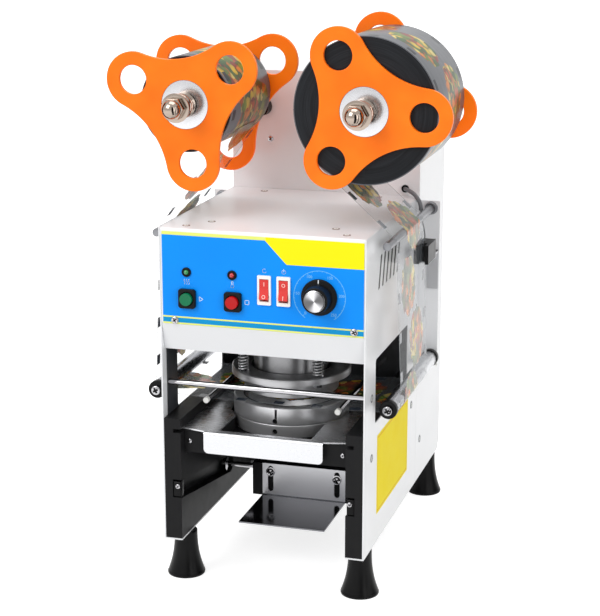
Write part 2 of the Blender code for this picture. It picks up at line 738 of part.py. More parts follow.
def tower_cover(machine):
    """Rear hood: sides, back and top in one folded sheet, open to the bulkhead and the floor."""
    front = BULKHEAD_BACK + GAP
    heel = [(front, FOOT_HEIGHT), (BODY_BACK - HEEL_CHAMFER, FOOT_HEIGHT),
            (BODY_BACK, FOOT_HEIGHT + HEEL_CHAMFER), (BODY_BACK, TOWER_TOP), (front, TOWER_TOP)]
    inside = box(-INNER, INNER, front - SHEET, BODY_BACK - SHEET, FOOT_HEIGHT - SHEET, TOWER_TOP - SHEET)
    hood = cut(plate(heel, -HALF, HALF, "x"), inside)
    tools = []
    for i in range(BACK_SLOTS):
        z = BACK_SLOT_LOW + i * BACK_SLOT_PITCH
        ends = (-BACK_SLOT_LENGTH / 2, z), (BACK_SLOT_LENGTH / 2, z)
        tools.append(plate(capsule(*ends, SLOT_WIDTH / 2, 4), BODY_BACK - 2 * SHEET, BODY_BACK + SHEET, "y"))
    socket = rectangle(INLET_X - INLET_WIDTH / 2 - GAP, INLET_X + INLET_WIDTH / 2 + GAP,
                       INLET_Z - INLET_HEIGHT / 2 - GAP, INLET_Z + INLET_HEIGHT / 2 + GAP)
    tools.append(plate(socket, BODY_BACK - 2 * SHEET, BODY_BACK + SHEET, "y"))
    node("tower_cover", cut(hood, together(*tools)), Finish.WHITE, machine)


def feet(machine):
    """Four flared rubber feet with a bolt recess."""
    height = FOOT_HEIGHT - GAP
    flare = 4
    side = [(FOOT_BASE_R, 0), (FOOT_BASE_R, FOOT_RIM)]
    for i in range(1, flare + 1):
        share = i / flare
        radius = FOOT_TOP_R + (FOOT_BASE_R - FOOT_TOP_R) * (1 - share) ** 2.4
        side.append((radius, FOOT_RIM + (height - FOOT_RIM) * share))
    profile = [(0, FOOT_BORE_DEPTH), (FOOT_BORE_R, FOOT_BORE_DEPTH), (FOOT_BORE_R, 0), *side, (0, height)]
    for side, x in (("left", -FOOT_X), ("right", FOOT_X)):
        for end, y in (("front", FOOT_FRONT), ("rear", FOOT_REAR)):
            node(f"{side}_{end}_foot", turned(profile, "z", (x, y, 0), MEDIUM), Finish.RUBBER, machine)


def rail(name, machine):
    """Black guide block: a slot for the tray and a sloping groove for the lift's wheels."""
    length = FRONT_DEPTH - RAIL_REAR_CLEAR
    body = box(RAIL_INNER, INNER - GAP, GAP, length, RAIL_LOW, RAIL_TOP)
    low = CARRIAGE_TOP - TONGUE - GAP
    slot = box(RAIL_INNER - SHEET, TRAY_HALF + GAP, -SHEET, FRONT_DEPTH, low, TRAY_TOP + SLOT_PLAY)
    slope = LIFT_RISE / TRAY_STROKE
    past = LIFT_AXLE_Y + LIFT_WHEEL_R
    front_end = (LIFT_AXLE_Y - past, LIFT_AXLE_Z + slope * past)
    groove = capsule((LIFT_AXLE_Y, LIFT_AXLE_Z), front_end, LIFT_WHEEL_R + RUN, 8)
    track = plate(groove, RAIL_INNER - SHEET, RAIL_INNER + GROOVE_DEPTH, "x")
    body = cut(body, together(slot, track))
    if name.startswith("left"):
        body = mirrored(body)
    node(name, body, Finish.BLACK, machine)


def pocket_outline(front):
    """Opening round the die, carried forward as a channel as far as the given y."""
    side = asin(POCKET_CHANNEL / POCKET_R)
    return [(-POCKET_CHANNEL, front), (POCKET_CHANNEL, front),
            *arc((0, DIE_Y), POCKET_R, side - pi / 2, 3 * pi / 2 - side, 3 * ARC)]


def tray(body):
    """Stainless tray: flat sheet in the rails, with a folded front lip."""
    wing = TRAY_FRONT + WING_SETBACK
    right = [(LIP_WIDTH / 2, TRAY_FRONT), (TRAY_HALF, wing), (TRAY_HALF, TRAY_BACK)]
    outline = right + [(-x, y) for x, y in reversed(right)]
    opening = pocket_outline(TRAY_FRONT + TRAY_STRIP)
    sheet = plate(outline, TRAY_UNDER, TRAY_TOP, "z", [opening])
    half = LIP_WIDTH / 2
    bend_centre = (LIP_FACE + LIP_RADIUS, TRAY_TOP - LIP_RADIUS)
    line = [(TRAY_FRONT + LIP_RADIUS, TRAY_TOP), *arc(bend_centre, LIP_RADIUS, pi / 2, pi, 5),
            (LIP_FACE, LIP_BOTTOM)]
    lip = plate(folded(line, TRAY_SHEET), -half, half, "x")
    corner = rectangle(0, LIP_CORNER, 0, LIP_CORNER)
    round_off = [(0, 0), (LIP_CORNER, 0)] + arc((LIP_CORNER, LIP_CORNER), LIP_CORNER, -pi / 2, -pi, 5)[1:]
    tools = []
    for side in (-1, 1):
        ring = [(side * (half - u), LIP_BOTTOM + v) for u, v in round_off]
        tools.append(plate(ring, LIP_FACE - SHEET, LIP_FACE + 2 * SHEET, "y"))
    lip = cut(lip, *tools)
    node("tray_sheet", fuse(sheet, lip), Finish.STEEL, body)


def carriage(body):
    """Black block under the tray sheet: a pocket for the die, and the two posts of the cup lift."""
    half = RAIL_INNER - RUN
    tongue = CARRIAGE_TOP - TONGUE
    right = [(half, CARRIAGE_LOW), (half, tongue), (TRAY_HALF, tongue), (TRAY_HALF, CARRIAGE_TOP)]
    outline = right + [(-x, z) for x, z in reversed(right)]
    block = plate(outline, CARRIAGE_FRONT, TRAY_BACK, "y")
    pocket = plate(pocket_outline(CARRIAGE_FRONT + CARRIAGE_WALL), FLOOR_TOP, CARRIAGE_TOP + SHEET, "z")
    well = rod(CUP_RADIUS + RIM_SEAT, CARRIAGE_LOW - SHEET, FLOOR_TOP + SHEET, "z", (0, DIE_Y, 0), FINE)
    posts = [rod(LIFT_POST_R, LIFT_POST_LOW, CARRIAGE_LOW + CARRIAGE_FLOOR / 2, "z",
                 (x, LIFT_POST_Y, 0), SMALL) for x in (-LIFT_POST_X, LIFT_POST_X)]
    node("carriage", fuse(cut(block, pocket, well), *posts), Finish.BLACK, body)


def die(body):
    """Two stacked steel rings; the upper one has steps for its rubber and the cup's rim."""
    centre = (0, DIE_Y, 0)
    outer = DIE_RADIUS
    edge = DIE_CHAMFER
    lower = [(CUP_RADIUS, DIE_LOW), (outer - edge, DIE_LOW), (outer, DIE_LOW + edge),
             (outer, DIE_JOINT - edge / 2), (outer - edge / 2, DIE_JOINT), (CUP_RADIUS, DIE_JOINT)]
    foot = DIE_JOINT + GAP
    seat = CUP_RADIUS + RIM_SEAT
    upper = [(CUP_RADIUS, foot), (outer - edge / 2, foot), (outer, foot + edge / 2),
             (outer, DIE_TOP - edge), (outer - edge, DIE_TOP), (seat + SEAL_STEP, DIE_TOP),
             (seat + SEAL_STEP, DIE_TOP - SEAL_STEP / 2), (seat, DIE_TOP - SEAL_STEP / 2),
             (seat, DIE_TOP - RIM_SEAT), (CUP_RADIUS, DIE_TOP - RIM_SEAT)]
    for name, profile, z in (("die_lower_ring", lower, DIE_JOINT - SET_SCREW_BELOW),
                             ("die_upper_ring", upper, DIE_JOINT + SET_SCREW_ABOVE)):
        ring = turned(profile, "z", centre, FINE + ARC, True)
        hole = rod(SET_SCREW_R, DIE_Y - outer - edge, DIE_Y - outer + SET_SCREW_DEPTH, "y", (0, 0, z), SMALL)
        node(name, cut(ring, hole), Finish.STEEL, body)


def lift(body):
    """Crosshead on two posts, its wheels in the rails' grooves, with the cup's L-shaped shelf."""
    half = LIFT_BLOCK_WIDTH / 2
    back = LIFT_BLOCK_Y + LIFT_BLOCK_DEPTH
    top = LIFT_BLOCK_Z + LIFT_BLOCK_HEIGHT
    block = box(-half, half, LIFT_BLOCK_Y, back, LIFT_BLOCK_Z, top)
    tools = [rod(LIFT_POST_R + RUN, LIFT_BLOCK_Z - SHEET, top + SHEET, "z", (x, LIFT_POST_Y, 0), SMALL)
             for x in (-LIFT_POST_X, LIFT_POST_X)]
    centre = (0, LIFT_AXLE_Y, LIFT_AXLE_Z)
    tools.append(rod(LIFT_AXLE_R + GAP, -half - SHEET, half + SHEET, "x", centre))
    node("lift_block", cut(block, together(*tools)), Finish.BLACK, body)
    reach = RAIL_INNER + GROOVE_DEPTH - 2 * RUN
    tread = reach - LIFT_WHEEL_WIDTH
    profile = [(0, -reach), (LIFT_WHEEL_R, -reach), (LIFT_WHEEL_R, -tread), (LIFT_AXLE_R, -tread),
               (LIFT_AXLE_R, tread), (LIFT_WHEEL_R, tread), (LIFT_WHEEL_R, reach), (0, reach)]
    node("lift_axle", turned(profile, "x", centre, MEDIUM), Finish.BRIGHT, body)
    wide = BRACKET_WIDTH / 2
    face = LIFT_BLOCK_Y - GAP
    line = [(face, LIFT_BLOCK_Z + BRACKET_HEIGHT), (face, LIFT_BLOCK_Z), (face - BRACKET_REACH, LIFT_BLOCK_Z)]
    shelf = plate(folded(line[::-1], SHEET), -wide, wide, "x")
    low = LIFT_BLOCK_Z + BRACKET_SLOT_UP + BRACKET_SLOT_WIDTH / 2
    high = low + BRACKET_SLOT_LENGTH - BRACKET_SLOT_WIDTH
    slots = [plate(capsule((x, low), (x, high), BRACKET_SLOT_WIDTH / 2),
                   face - 2 * SHEET, face + GAP / 2, "y") for x in (-BRACKET_SLOT_X, BRACKET_SLOT_X)]
    node("lift_bracket", cut(shelf, together(*slots)), Finish.STEEL, body)


def pin_spots():
    """Names and places of the four pins that carry the knife plate."""
    return {f"{side}_{end}": (x, DIE_Y + y, 0)
            for side, x in (("left", -PIN_OFFSET), ("right", PIN_OFFSET))
            for end, y in (("front", -PIN_OFFSET), ("rear", PIN_OFFSET))}


def press_head(head):
    """Heater and seal disc under a guided plate with a slotted yoke for the crank."""
    centre = (0, DIE_Y, 0)
    disc_top = HEAD_BOTTOM + SEAL_DISC
    edge = DIE_CHAMFER
    profile = [(0, HEAD_BOTTOM), (SEAL_DISC_R - edge, HEAD_BOTTOM), (SEAL_DISC_R, HEAD_BOTTOM + edge),
               (SEAL_DISC_R, disc_top - edge), (SEAL_DISC_R - edge, disc_top), (HEATER_R, disc_top),
               (HEATER_R, PRESS_PLATE_LOW - GAP), (0, PRESS_PLATE_LOW - GAP)]
    node("heater_block", turned(profile, "z", centre, FINE), Finish.ALUMINIUM, head)
    half = PRESS_PLATE_WIDTH / 2
    outline = rounded_rectangle(-half, half, PRESS_PLATE_FRONT, PRESS_PLATE_BACK, PRESS_PLATE_CORNER)
    bores = [circle((x, COLUMN_Y), COLUMN_R + RUN) for x in (-COLUMN_X, COLUMN_X)]
    slab = plate(outline, PRESS_PLATE_LOW, PRESS_PLATE_TOP, "z", bores)
    yoke = plate(rounded_rectangle(-YOKE_WIDTH / 2, YOKE_WIDTH / 2, PRESS_PLATE_TOP - edge,
                                   PRESS_PLATE_TOP + YOKE_RISE, YOKE_CORNER),
                 YOKE_Y, YOKE_Y + YOKE_THICK, "y")
    swing = CRANK_PIN_R
    slot = plate(capsule((CRANK_RADIUS - swing, CRANK_Z), (CRANK_RADIUS, CRANK_Z),
                         CRANK_PIN_R + CRANK_PIN_PLAY, 8), YOKE_Y - SHEET, YOKE_Y + YOKE_THICK + SHEET, "y")
    low = KNIFE_PLATE_LOW - GAP - PIN_HEAD
    pin = [(0, low), (PIN_HEAD_R, low), (PIN_HEAD_R, low + PIN_HEAD), (PIN_R, low + PIN_HEAD),
           (PIN_R, PRESS_PLATE_LOW + edge), (0, PRESS_PLATE_LOW + edge)]
    pins = [turned(pin, "z", spot, SMALL) for spot in pin_spots().values()]
    node("press_plate", fuse(cut(fuse(slab, yoke), slot), together(*pins)), Finish.STEEL, head)
    foot = KNIFE_PLATE_LOW + KNIFE_PLATE + GAP
    for place, spot in pin_spots().items():
        spring = coil(PRESS_SPRING_R, PRESS_SPRING_WIRE, PRESS_SPRING_TURNS,
                      foot, PRESS_PLATE_LOW - GAP, "z", spot)
        node(f"press_spring_{place}", spring, Finish.BRIGHT, head)


def knife(body):
    """Sprung ring plate with the round film knife below it."""
    low, high = KNIFE_PLATE_LOW, KNIFE_PLATE_LOW + KNIFE_PLATE
    edge = DIE_CHAMFER
    bore = HEATER_R + 6 * RUN
    blade = KNIFE_R - KNIFE_WALL
    profile = [(bore, low), (blade, low), (blade, KNIFE_LOW + edge), (KNIFE_R, KNIFE_LOW), (KNIFE_R, low),
               (KNIFE_PLATE_R, low), (KNIFE_PLATE_R, high - edge), (KNIFE_PLATE_R - edge, high), (bore, high)]
    ring = turned(profile, "z", (0, DIE_Y, 0), FINE, True)
    holes = [rod(PIN_R + RUN, low - SHEET, high + SHEET, "z", spot, SMALL) for spot in pin_spots().values()]
    node("knife_plate", cut(ring, together(*holes)), Finish.STEEL, body)


def press_drive(machine, crank):
    """Column bracket on the bulkhead, two columns, gear motor behind and crank in front."""
    back = FRONT_DEPTH - GAP
    front = back - BRACKET_DEPTH
    web = back - BRACKET_BACK
    low, high = BRACKET_LOW, BRACKET_LOW + BRACKET_TALL
    outline = [(front, low), (back, low), (back, high), (front, high), (front, high - BRACKET_ARM),
               (web, high - BRACKET_ARM), (web, low + BRACKET_ARM), (front, low + BRACKET_ARM)]
    half = PRESS_PLATE_WIDTH / 2
    hole = rod(CRANK_SHAFT_R + 2 * RUN, web - SHEET, back + SHEET, "y", (0, 0, CRANK_Z))
    columns = [rod(COLUMN_R, low - 2 * SHEET, high + 2 * SHEET, "z", (x, COLUMN_Y, 0))
               for x in (-COLUMN_X, COLUMN_X)]
    node("press_bracket", fuse(cut(plate(outline, -half, half, "x"), hole), *columns), Finish.STEEL, machine)
    start = BULKHEAD_BACK + GAP
    side = MOTOR_BOX / 2
    gearbox = box(-side, side, start, start + MOTOR_BOX_DEPTH, CRANK_Z - side, CRANK_Z + side)
    can = rod(MOTOR_R, start + MOTOR_BOX_DEPTH - SHEET, start + MOTOR_BOX_DEPTH + MOTOR_LENGTH, "y",
              (0, 0, CRANK_Z), FINE)
    shaft = rod(CRANK_SHAFT_R, CRANK_Y + RUN, start + SHEET, "y", (0, 0, CRANK_Z), SMALL)
    node("press_motor", fuse(gearbox, can, shaft), Finish.ALUMINIUM, machine)
    disc = pipe(CRANK_DISC_R, CRANK_SHAFT_R + GAP, CRANK_Y, CRANK_Y + CRANK_DISC, "y",
                (0, 0, CRANK_Z), MEDIUM)
    pin = rod(CRANK_PIN_R, YOKE_Y - RUN, CRANK_Y + SHEET, "y", (CRANK_RADIUS, 0, CRANK_Z), SMALL)
    node("crank", fuse(disc, pin), Finish.STEEL, crank)


def lobed_outline(turn):
    """Three round lobes joined by hollow flanks, all arcs tangent to each other."""
    side = LOBE_CIRCLE * sin(pi / 3)
    inset = WAIST - LOBE_CIRCLE * cos(pi / 3)
    flank = (side ** 2 + inset ** 2 - LOBE_RADIUS ** 2) / (2 * (LOBE_RADIUS - inset))
    distance = flank + WAIST
    half_sweep = asin(side / (flank + LOBE_RADIUS))
    lobe_half = pi / 3 + half_sweep
    ring = []
    for i in range(3):
        angle = turn + i * 2 * pi / 3
        lobe = (LOBE_CIRCLE * cos(angle), LOBE_CIRCLE * sin(angle))
        ring += arc(lobe, LOBE_RADIUS, angle - lobe_half, angle + lobe_half, 2 * ARC)
        between = angle + pi / 3
        centre = (distance * cos(between), distance * sin(between))
        ring += arc(centre, flank, between + pi + half_sweep, between + pi - half_sweep, ARC)[1:-1]
    return ring


def reel_plate(turn, x, front, plug_sign):
    """Lobed side plate; its plug centres the film's core and a washer sits in its front face."""
    holes = [circle((LOBE_CIRCLE * cos(angle), LOBE_CIRCLE * sin(angle)), LOBE_HOLE_R)
             for angle in (turn + i * 2 * pi / 3 for i in range(3))]
    back = front + REEL_PLATE
    body = plate(lobed_outline(turn), front, back, "y", holes)
    centre = (0, 0, 0)
    outer = CORE_R - RUN
    if plug_sign > 0:
        plug = pipe(outer, outer - PLUG_WALL, back - SHEET, back + PLUG_LENGTH, "y", centre, MEDIUM)
        seat = rod(WASHER_R + GAP, front - SHEET, front + REEL_PLATE / 2, "y", centre)
    else:
        plug = pipe(outer, outer - PLUG_WALL, front - PLUG_LENGTH, front + SHEET, "y", centre, MEDIUM)
        seat = rod(WASHER_R + GAP, back - REEL_PLATE / 2, back + SHEET, "y", centre)
    bore = rod(SHAFT_R + GAP, front - SHEET, back + SHEET, "y", centre)
    whole = cut(fuse(body, plug), seat, bore)
    bmesh.ops.translate(whole, verts=whole.verts, vec=(x, 0, REEL_Z))
    return whole


def reel(prefix, x, roll_radius, front_turn, rear_turn, body):
    """Two lobed plates, the film roll, and the shaft with its washer, clamp spring and domed nut."""
    centre = (x, 0, REEL_Z)
    node(prefix + "_front_plate", reel_plate(front_turn, x, REEL_FRONT, 1), Finish.ORANGE, body)
    node(prefix + "_rear_plate", reel_plate(rear_turn, x, ROLL_BACK + GAP, -1), Finish.ORANGE, body)
    film = pipe(roll_radius, CORE_R, ROLL_FRONT, ROLL_BACK, "y", centre, FINE + ARC)
    node(prefix + "_roll", film, Finish.FILM, body)
    bore_face = REEL_FRONT + REEL_PLATE / 2 - GAP
    washer = bore_face - WASHER
    spring_end = washer - REEL_SPRING_LENGTH
    nut_back = spring_end - NUT_WASHER
    nut_front = nut_back - NUT_THICK
    dome = [(0, nut_front - DOME_NECK - DOME_R)]
    dome += [(DOME_R * sin(a), nut_front - DOME_NECK - DOME_R * cos(a))
             for a in (pi / 2 * i / ARC for i in range(1, ARC + 1))]
    seat = REEL_BACK - REEL_PLATE / 2 + GAP
    end = BULKHEAD_BACK + BEARING_DEPTH
    profile = [*dome, (DOME_R, nut_back - SHEET), (NUT_WASHER_R, nut_back), (NUT_WASHER_R, spring_end),
               (SHAFT_R, spring_end), (SHAFT_R, washer), (WASHER_R, washer), (WASHER_R, bore_face),
               (SHAFT_R, bore_face), (SHAFT_R, seat), (COLLAR_R, seat), (COLLAR_R, REEL_BACK + COLLAR),
               (SHAFT_R, REEL_BACK + COLLAR), (SHAFT_R, end), (0, end)]
    hexagon = [(x + u, REEL_Z + v) for u, v in circle((0, 0), NUT_FLAT / 2 / cos(pi / 6), 6)]
    nut = plate(hexagon, nut_front, nut_back + SHEET / 2, "y")
    spring = coil(REEL_SPRING_R, REEL_SPRING_WIRE, REEL_SPRING_TURNS,
                  spring_end - REEL_SPRING_WIRE, washer + REEL_SPRING_WIRE, "y", centre)
    shaft = fuse(turned(profile, "y", centre, MEDIUM), nut, spring)
    node(prefix + "_shaft", shaft, Finish.BRIGHT, body)


def web_path(stations):
    """Film path round circles: each is (x, z, radius, side), side +1 when it lies to the left."""
    lines = []
    for (x1, z1, r1, s1), (x2, z2, r2, s2) in zip(stations, stations[1:]):
        distance = hypot(x2 - x1, z2 - z1)
        heading = atan2(z2 - z1, x2 - x1) - asin((s2 * r2 - s1 * r1) / distance)
        normal = (-sin(heading), cos(heading))
        start = (x1 - s1 * r1 * normal[0], z1 - s1 * r1 * normal[1])
        end = (x2 - s2 * r2 * normal[0], z2 - s2 * r2 * normal[1])
        lines.append((start, end, heading))
    points = [lines[0][0]]
    for index, (x, z, radius, side) in enumerate(stations[1:-1]):
        arrive, leave = lines[index][2], lines[index + 1][2]
        swing = (leave - arrive + pi) % (2 * pi) - pi
        steps = max(1, round(abs(swing) / radians(15)))
        for i in range(steps + 1):
            heading = arrive + swing * i / steps
            points.append((x + side * radius * sin(heading), z - side * radius * cos(heading)))
    points.append(lines[-1][1])
    return points


def film_web(machine):
    """Film from the supply roll over the rods, through the press and back to the take-up roll."""
    pad = GAP + FILM_THICK / 2
    stations = [(REEL_X, REEL_Z, SUPPLY_R + pad, 1),
                (UPPER_ROD_X, UPPER_ROD_Z, UPPER_ROD_R + pad, -1),
                (ROLLER_X, ROLLER_Z, ROLLER_R + pad, -1),
                (FILM_ROD_X, FILM_ROD_Z, FILM_ROD_R + pad, -1),
                (-FILM_ROD_X, FILM_ROD_Z, FILM_ROD_R + pad, -1),
                (-ROLLER_X, ROLLER_Z, ROLLER_R + pad, -1),
                (-UPPER_ROD_X, UPPER_ROD_Z, UPPER_ROD_R + pad, -1),
                (-REEL_X, REEL_Z, TAKEUP_R + pad, 1)]
    path = web_path(stations)
    outline = folded(path, FILM_THICK)
    middle = len(path)
    moved = []
    for i, (x, z) in enumerate(outline[:middle]):
        inner = outline[2 * middle - 1 - i]
        half = ((inner[0] - x) / 2, (inner[1] - z) / 2)
        moved.append(((x - half[0], z - half[1]), (inner[0] - half[0], inner[1] - half[1])))
    ring = [pair[0] for pair in moved] + [pair[1] for pair in reversed(moved)]
    node("film_web", ribbon(ring, middle, FILM_FRONT, FILM_BACK), Finish.FILM, machine)


def ribbon(ring, count, low, high):
    """Closed strip between two lines of points, given as one ring, extruded along y."""
    bm = bmesh.new()
    rows = [[bm.verts.new((x, y, z)) for x, z in ring] for y in (low, high)]
    size = len(ring)
    for i in range(size):
        bm.faces.new((rows[0][i - 1], rows[0][i], rows[1][i], rows[1][i - 1]))
    for row in rows:
        for i in range(count - 1):
            bm.faces.new((row[i], row[i + 1], row[size - 2 - i], row[size - 1 - i]))
    return closed(bm)


def film_rods(machine):
    """Fixed guide rods: two above at the ears, two beside the die, and the guard across the front."""
    end = FRONT_DEPTH - GAP
    tip = FILM_ROD_FRONT + FILM_TIP
    profile = [(0, FILM_ROD_FRONT), (FILM_TIP_R, FILM_ROD_FRONT), (FILM_TIP_R, tip), (FILM_ROD_R, tip),
               (FILM_ROD_R, end), (0, end)]
    for side, sign in (("left", -1), ("right", 1)):
        upper = rod(UPPER_ROD_R, ROLLER_FRONT, end, "y", (sign * UPPER_ROD_X, 0, UPPER_ROD_Z))
        node(f"{side}_upper_rod", upper, Finish.BRIGHT, machine)
        lower = turned(profile, "y", (sign * FILM_ROD_X, 0, FILM_ROD_Z), MEDIUM)
        node(f"{side}_film_rod", lower, Finish.BRIGHT, machine)
    reach = INNER - GAP
    guard = rod(CROSS_ROD_R, -reach, reach, "x", (0, CROSS_ROD_Y, CROSS_ROD_Z))
    node("cross_rod", guard, Finish.BRIGHT, machine)


def roller(name, x, body):
    """Aluminium tube with a black cap at each end."""
    centre = (x, 0, ROLLER_Z)
    back = FRONT_DEPTH - ROLLER_REAR_CLEAR
    bore = ROLLER_AXLE_R + RUN
    front_inner = ROLLER_FRONT + ROLLER_CAP
    rear_inner = back - ROLLER_CAP
    inside = ROLLER_R - ROLLER_WALL
    profile = [(bore, ROLLER_FRONT), (ROLLER_CAP_R, ROLLER_FRONT), (ROLLER_CAP_R, front_inner),
               (ROLLER_R, front_inner), (ROLLER_R, rear_inner), (ROLLER_CAP_R, rear_inner),
               (ROLLER_CAP_R, back), (bore, back), (bore, rear_inner), (inside, rear_inner),
               (inside, front_inner), (bore, front_inner)]
    node(name, turned(profile, "y", centre, MEDIUM, True), Finish.ALUMINIUM, body)


def lamps(machine):
    """Two panel lamps: bright bezel, domed lens, threaded barrel."""
    lens = TRIM_Y - LAMP_BEZEL
    dome = [(LAMP_LENS_R * cos(a), lens - LAMP_LENS * sin(a)) for a in (pi / 2 * i / 3 for i in range(3))]
    profile = [(0, LAMP_BARREL), (LAMP_BARREL_R, LAMP_BARREL), (LAMP_BARREL_R, TRIM_Y), (LAMP_R, TRIM_Y),
               (LAMP_R, lens + LAMP_BEZEL / 2), (LAMP_R - LAMP_BEZEL / 2, lens), *dome, (0, lens - LAMP_LENS)]
    for name, x, finish in (("green_lamp", GREEN_LAMP_X, Finish.GREEN), ("red_lamp", RED_LAMP_X, Finish.RED)):
        node(name, turned(profile, "y", (x, 0, LAMP_Z), MEDIUM), finish, machine)


def buttons(machine, start, stop):
    """Two push buttons, each in a square collar with a barrel through the panel."""
    front = TRIM_Y - BUTTON_BEZEL
    for name, x in (("start_collar", START_X), ("stop_collar", STOP_X)):
        wide, tall = BUTTON_BEZEL_WIDTH / 2, BUTTON_BEZEL_HEIGHT / 2
        outline = rounded_rectangle(x - wide, x + wide, BUTTON_Z - tall, BUTTON_Z + tall, BUTTON_CORNER)
        square = plate(outline, front, TRIM_Y, "y")
        barrel = rod(BUTTON_BARREL_R, TRIM_Y - SHEET, BUTTON_BARREL, "y", (x, 0, BUTTON_Z))
        well = rod(BUTTON_R + GAP, front - SHEET, BUTTON_BARREL - SHEET, "y", (x, 0, BUTTON_Z))
        node(name, cut(fuse(square, barrel), well), Finish.BLACK, machine)
    edge = DIE_CHAMFER
    face = front - BUTTON_PROUD
    end = BUTTON_BARREL - SHEET - BUTTON_TRAVEL - GAP
    profile = [(0, face), (BUTTON_R - edge, face), (BUTTON_R, face + edge), (BUTTON_R, end), (0, end)]
    for name, x, finish, body in (("start_button", START_X, Finish.GREEN, start),
                                  ("stop_button", STOP_X, Finish.RED, stop)):
        node(name, turned(profile, "y", (x, 0, BUTTON_Z), MEDIUM), finish, body)


def rockers(machine, mode, power):
    """Two rocker switches in cream housings; each rests with its upper half pressed."""
    pocket_half = ROCKER_LENGTH / 2 + RUN
    for name, x in (("mode_switch_case", MODE_ROCKER_X), ("power_switch_case", POWER_ROCKER_X)):
        wide, tall = ROCKER_BEZEL_WIDTH / 2, ROCKER_BEZEL_HEIGHT / 2
        frame = plate(rounded_rectangle(x - wide, x + wide, ROCKER_Z - tall, ROCKER_Z + tall, DIE_CHAMFER, 3),
                      TRIM_Y - ROCKER_BEZEL, TRIM_Y, "y")
        wide = (ROCKER_WIDTH + ROCKER_BEZEL_WIDTH) / 4
        tall = (ROCKER_LENGTH + ROCKER_BEZEL_HEIGHT) / 4
        core = plate(rectangle(x - wide, x + wide, ROCKER_Z - tall, ROCKER_Z + tall),
                     TRIM_Y - SHEET, ROCKER_BODY_DEPTH, "y")
        inner = ROCKER_WIDTH / 2 + GAP
        pocket = plate(rectangle(x - inner, x + inner, ROCKER_Z - pocket_half, ROCKER_Z + pocket_half),
                       TRIM_Y - 2 * ROCKER_BEZEL, ROCKER_BODY_DEPTH - SHEET, "y")
        node(name, cut(fuse(frame, core), pocket), Finish.CREAM, machine)
    half = ROCKER_LENGTH / 2 - 2 * RUN
    crown = ROCKER_PIVOT_DEPTH - TRIM_Y + ROCKER_CROWN
    outline = [(-crown, -half), (-crown + ROCKER_CROWN / 2, 0), (-crown, half),
               (ROCKER_PIVOT_DEPTH / 2, half), (ROCKER_PIVOT_DEPTH, 0), (ROCKER_PIVOT_DEPTH / 2, -half)]
    tilted = [(ROCKER_PIVOT_DEPTH + y * cos(ROCKER_TILT) + z * sin(ROCKER_TILT),
               ROCKER_Z - y * sin(ROCKER_TILT) + z * cos(ROCKER_TILT)) for y, z in outline]
    for name, x, body in (("mode_rocker", MODE_ROCKER_X, mode), ("power_rocker", POWER_ROCKER_X, power)):
        node(name, plate(tilted, x - ROCKER_WIDTH / 2, x + ROCKER_WIDTH / 2, "x"), Finish.RED, body)


def knob(machine, body):
    """Skirted knob with a bright cap on the thermostat's spindle."""
    centre = (KNOB_X, 0, KNOB_Z)
    back = TRIM_Y - RUN
    skirt = back - KNOB_SKIRT
    face = back - KNOB_LENGTH
    bore = KNOB_SHAFT_R + GAP
    inside = back - KNOB_SHAFT_IN - GAP
    profile = [(0, inside), (bore, inside), (bore, back), (KNOB_R, back), (KNOB_R, skirt + SHEET),
               (KNOB_R - SHEET, skirt), (KNOB_GRIP_R, skirt), (KNOB_GRIP_R - SHEET, face),
               (KNOB_CAP_R, face), (KNOB_CAP_R, face - KNOB_CAP), (0, face - KNOB_CAP)]
    node("temperature_knob", turned(profile, "y", centre, MEDIUM + 2 * ARC), Finish.BLACK, body)
    half = THERMOSTAT_WIDTH / 2
    case = box(KNOB_X - half, KNOB_X + half, SHEET + GAP, SHEET + GAP + THERMOSTAT_DEPTH,
               KNOB_Z - half, KNOB_Z + half)
    spindle = rod(KNOB_SHAFT_R, back - KNOB_SHAFT_IN, 2 * SHEET + GAP, "y", centre, SMALL)
    node("thermostat", fuse(case, spindle), Finish.BLACK, machine)


def smooth_route(points, count):
    """Catmull-Rom curve through the route's points."""
    ends = [points[0] * 2 - points[1], *points, points[-1] * 2 - points[-2]]
    route = []
    for i in range(len(points) - 1):
        a, b, c, d = ends[i:i + 4]
        for j in range(count):
            t = j / count
            route.append(0.5 * (2 * b + (c - a) * t + (2 * a - 5 * b + 4 * c - d) * t ** 2
                                + (3 * b - a - 3 * c + d) * t ** 3))
    return route + [points[-1]]


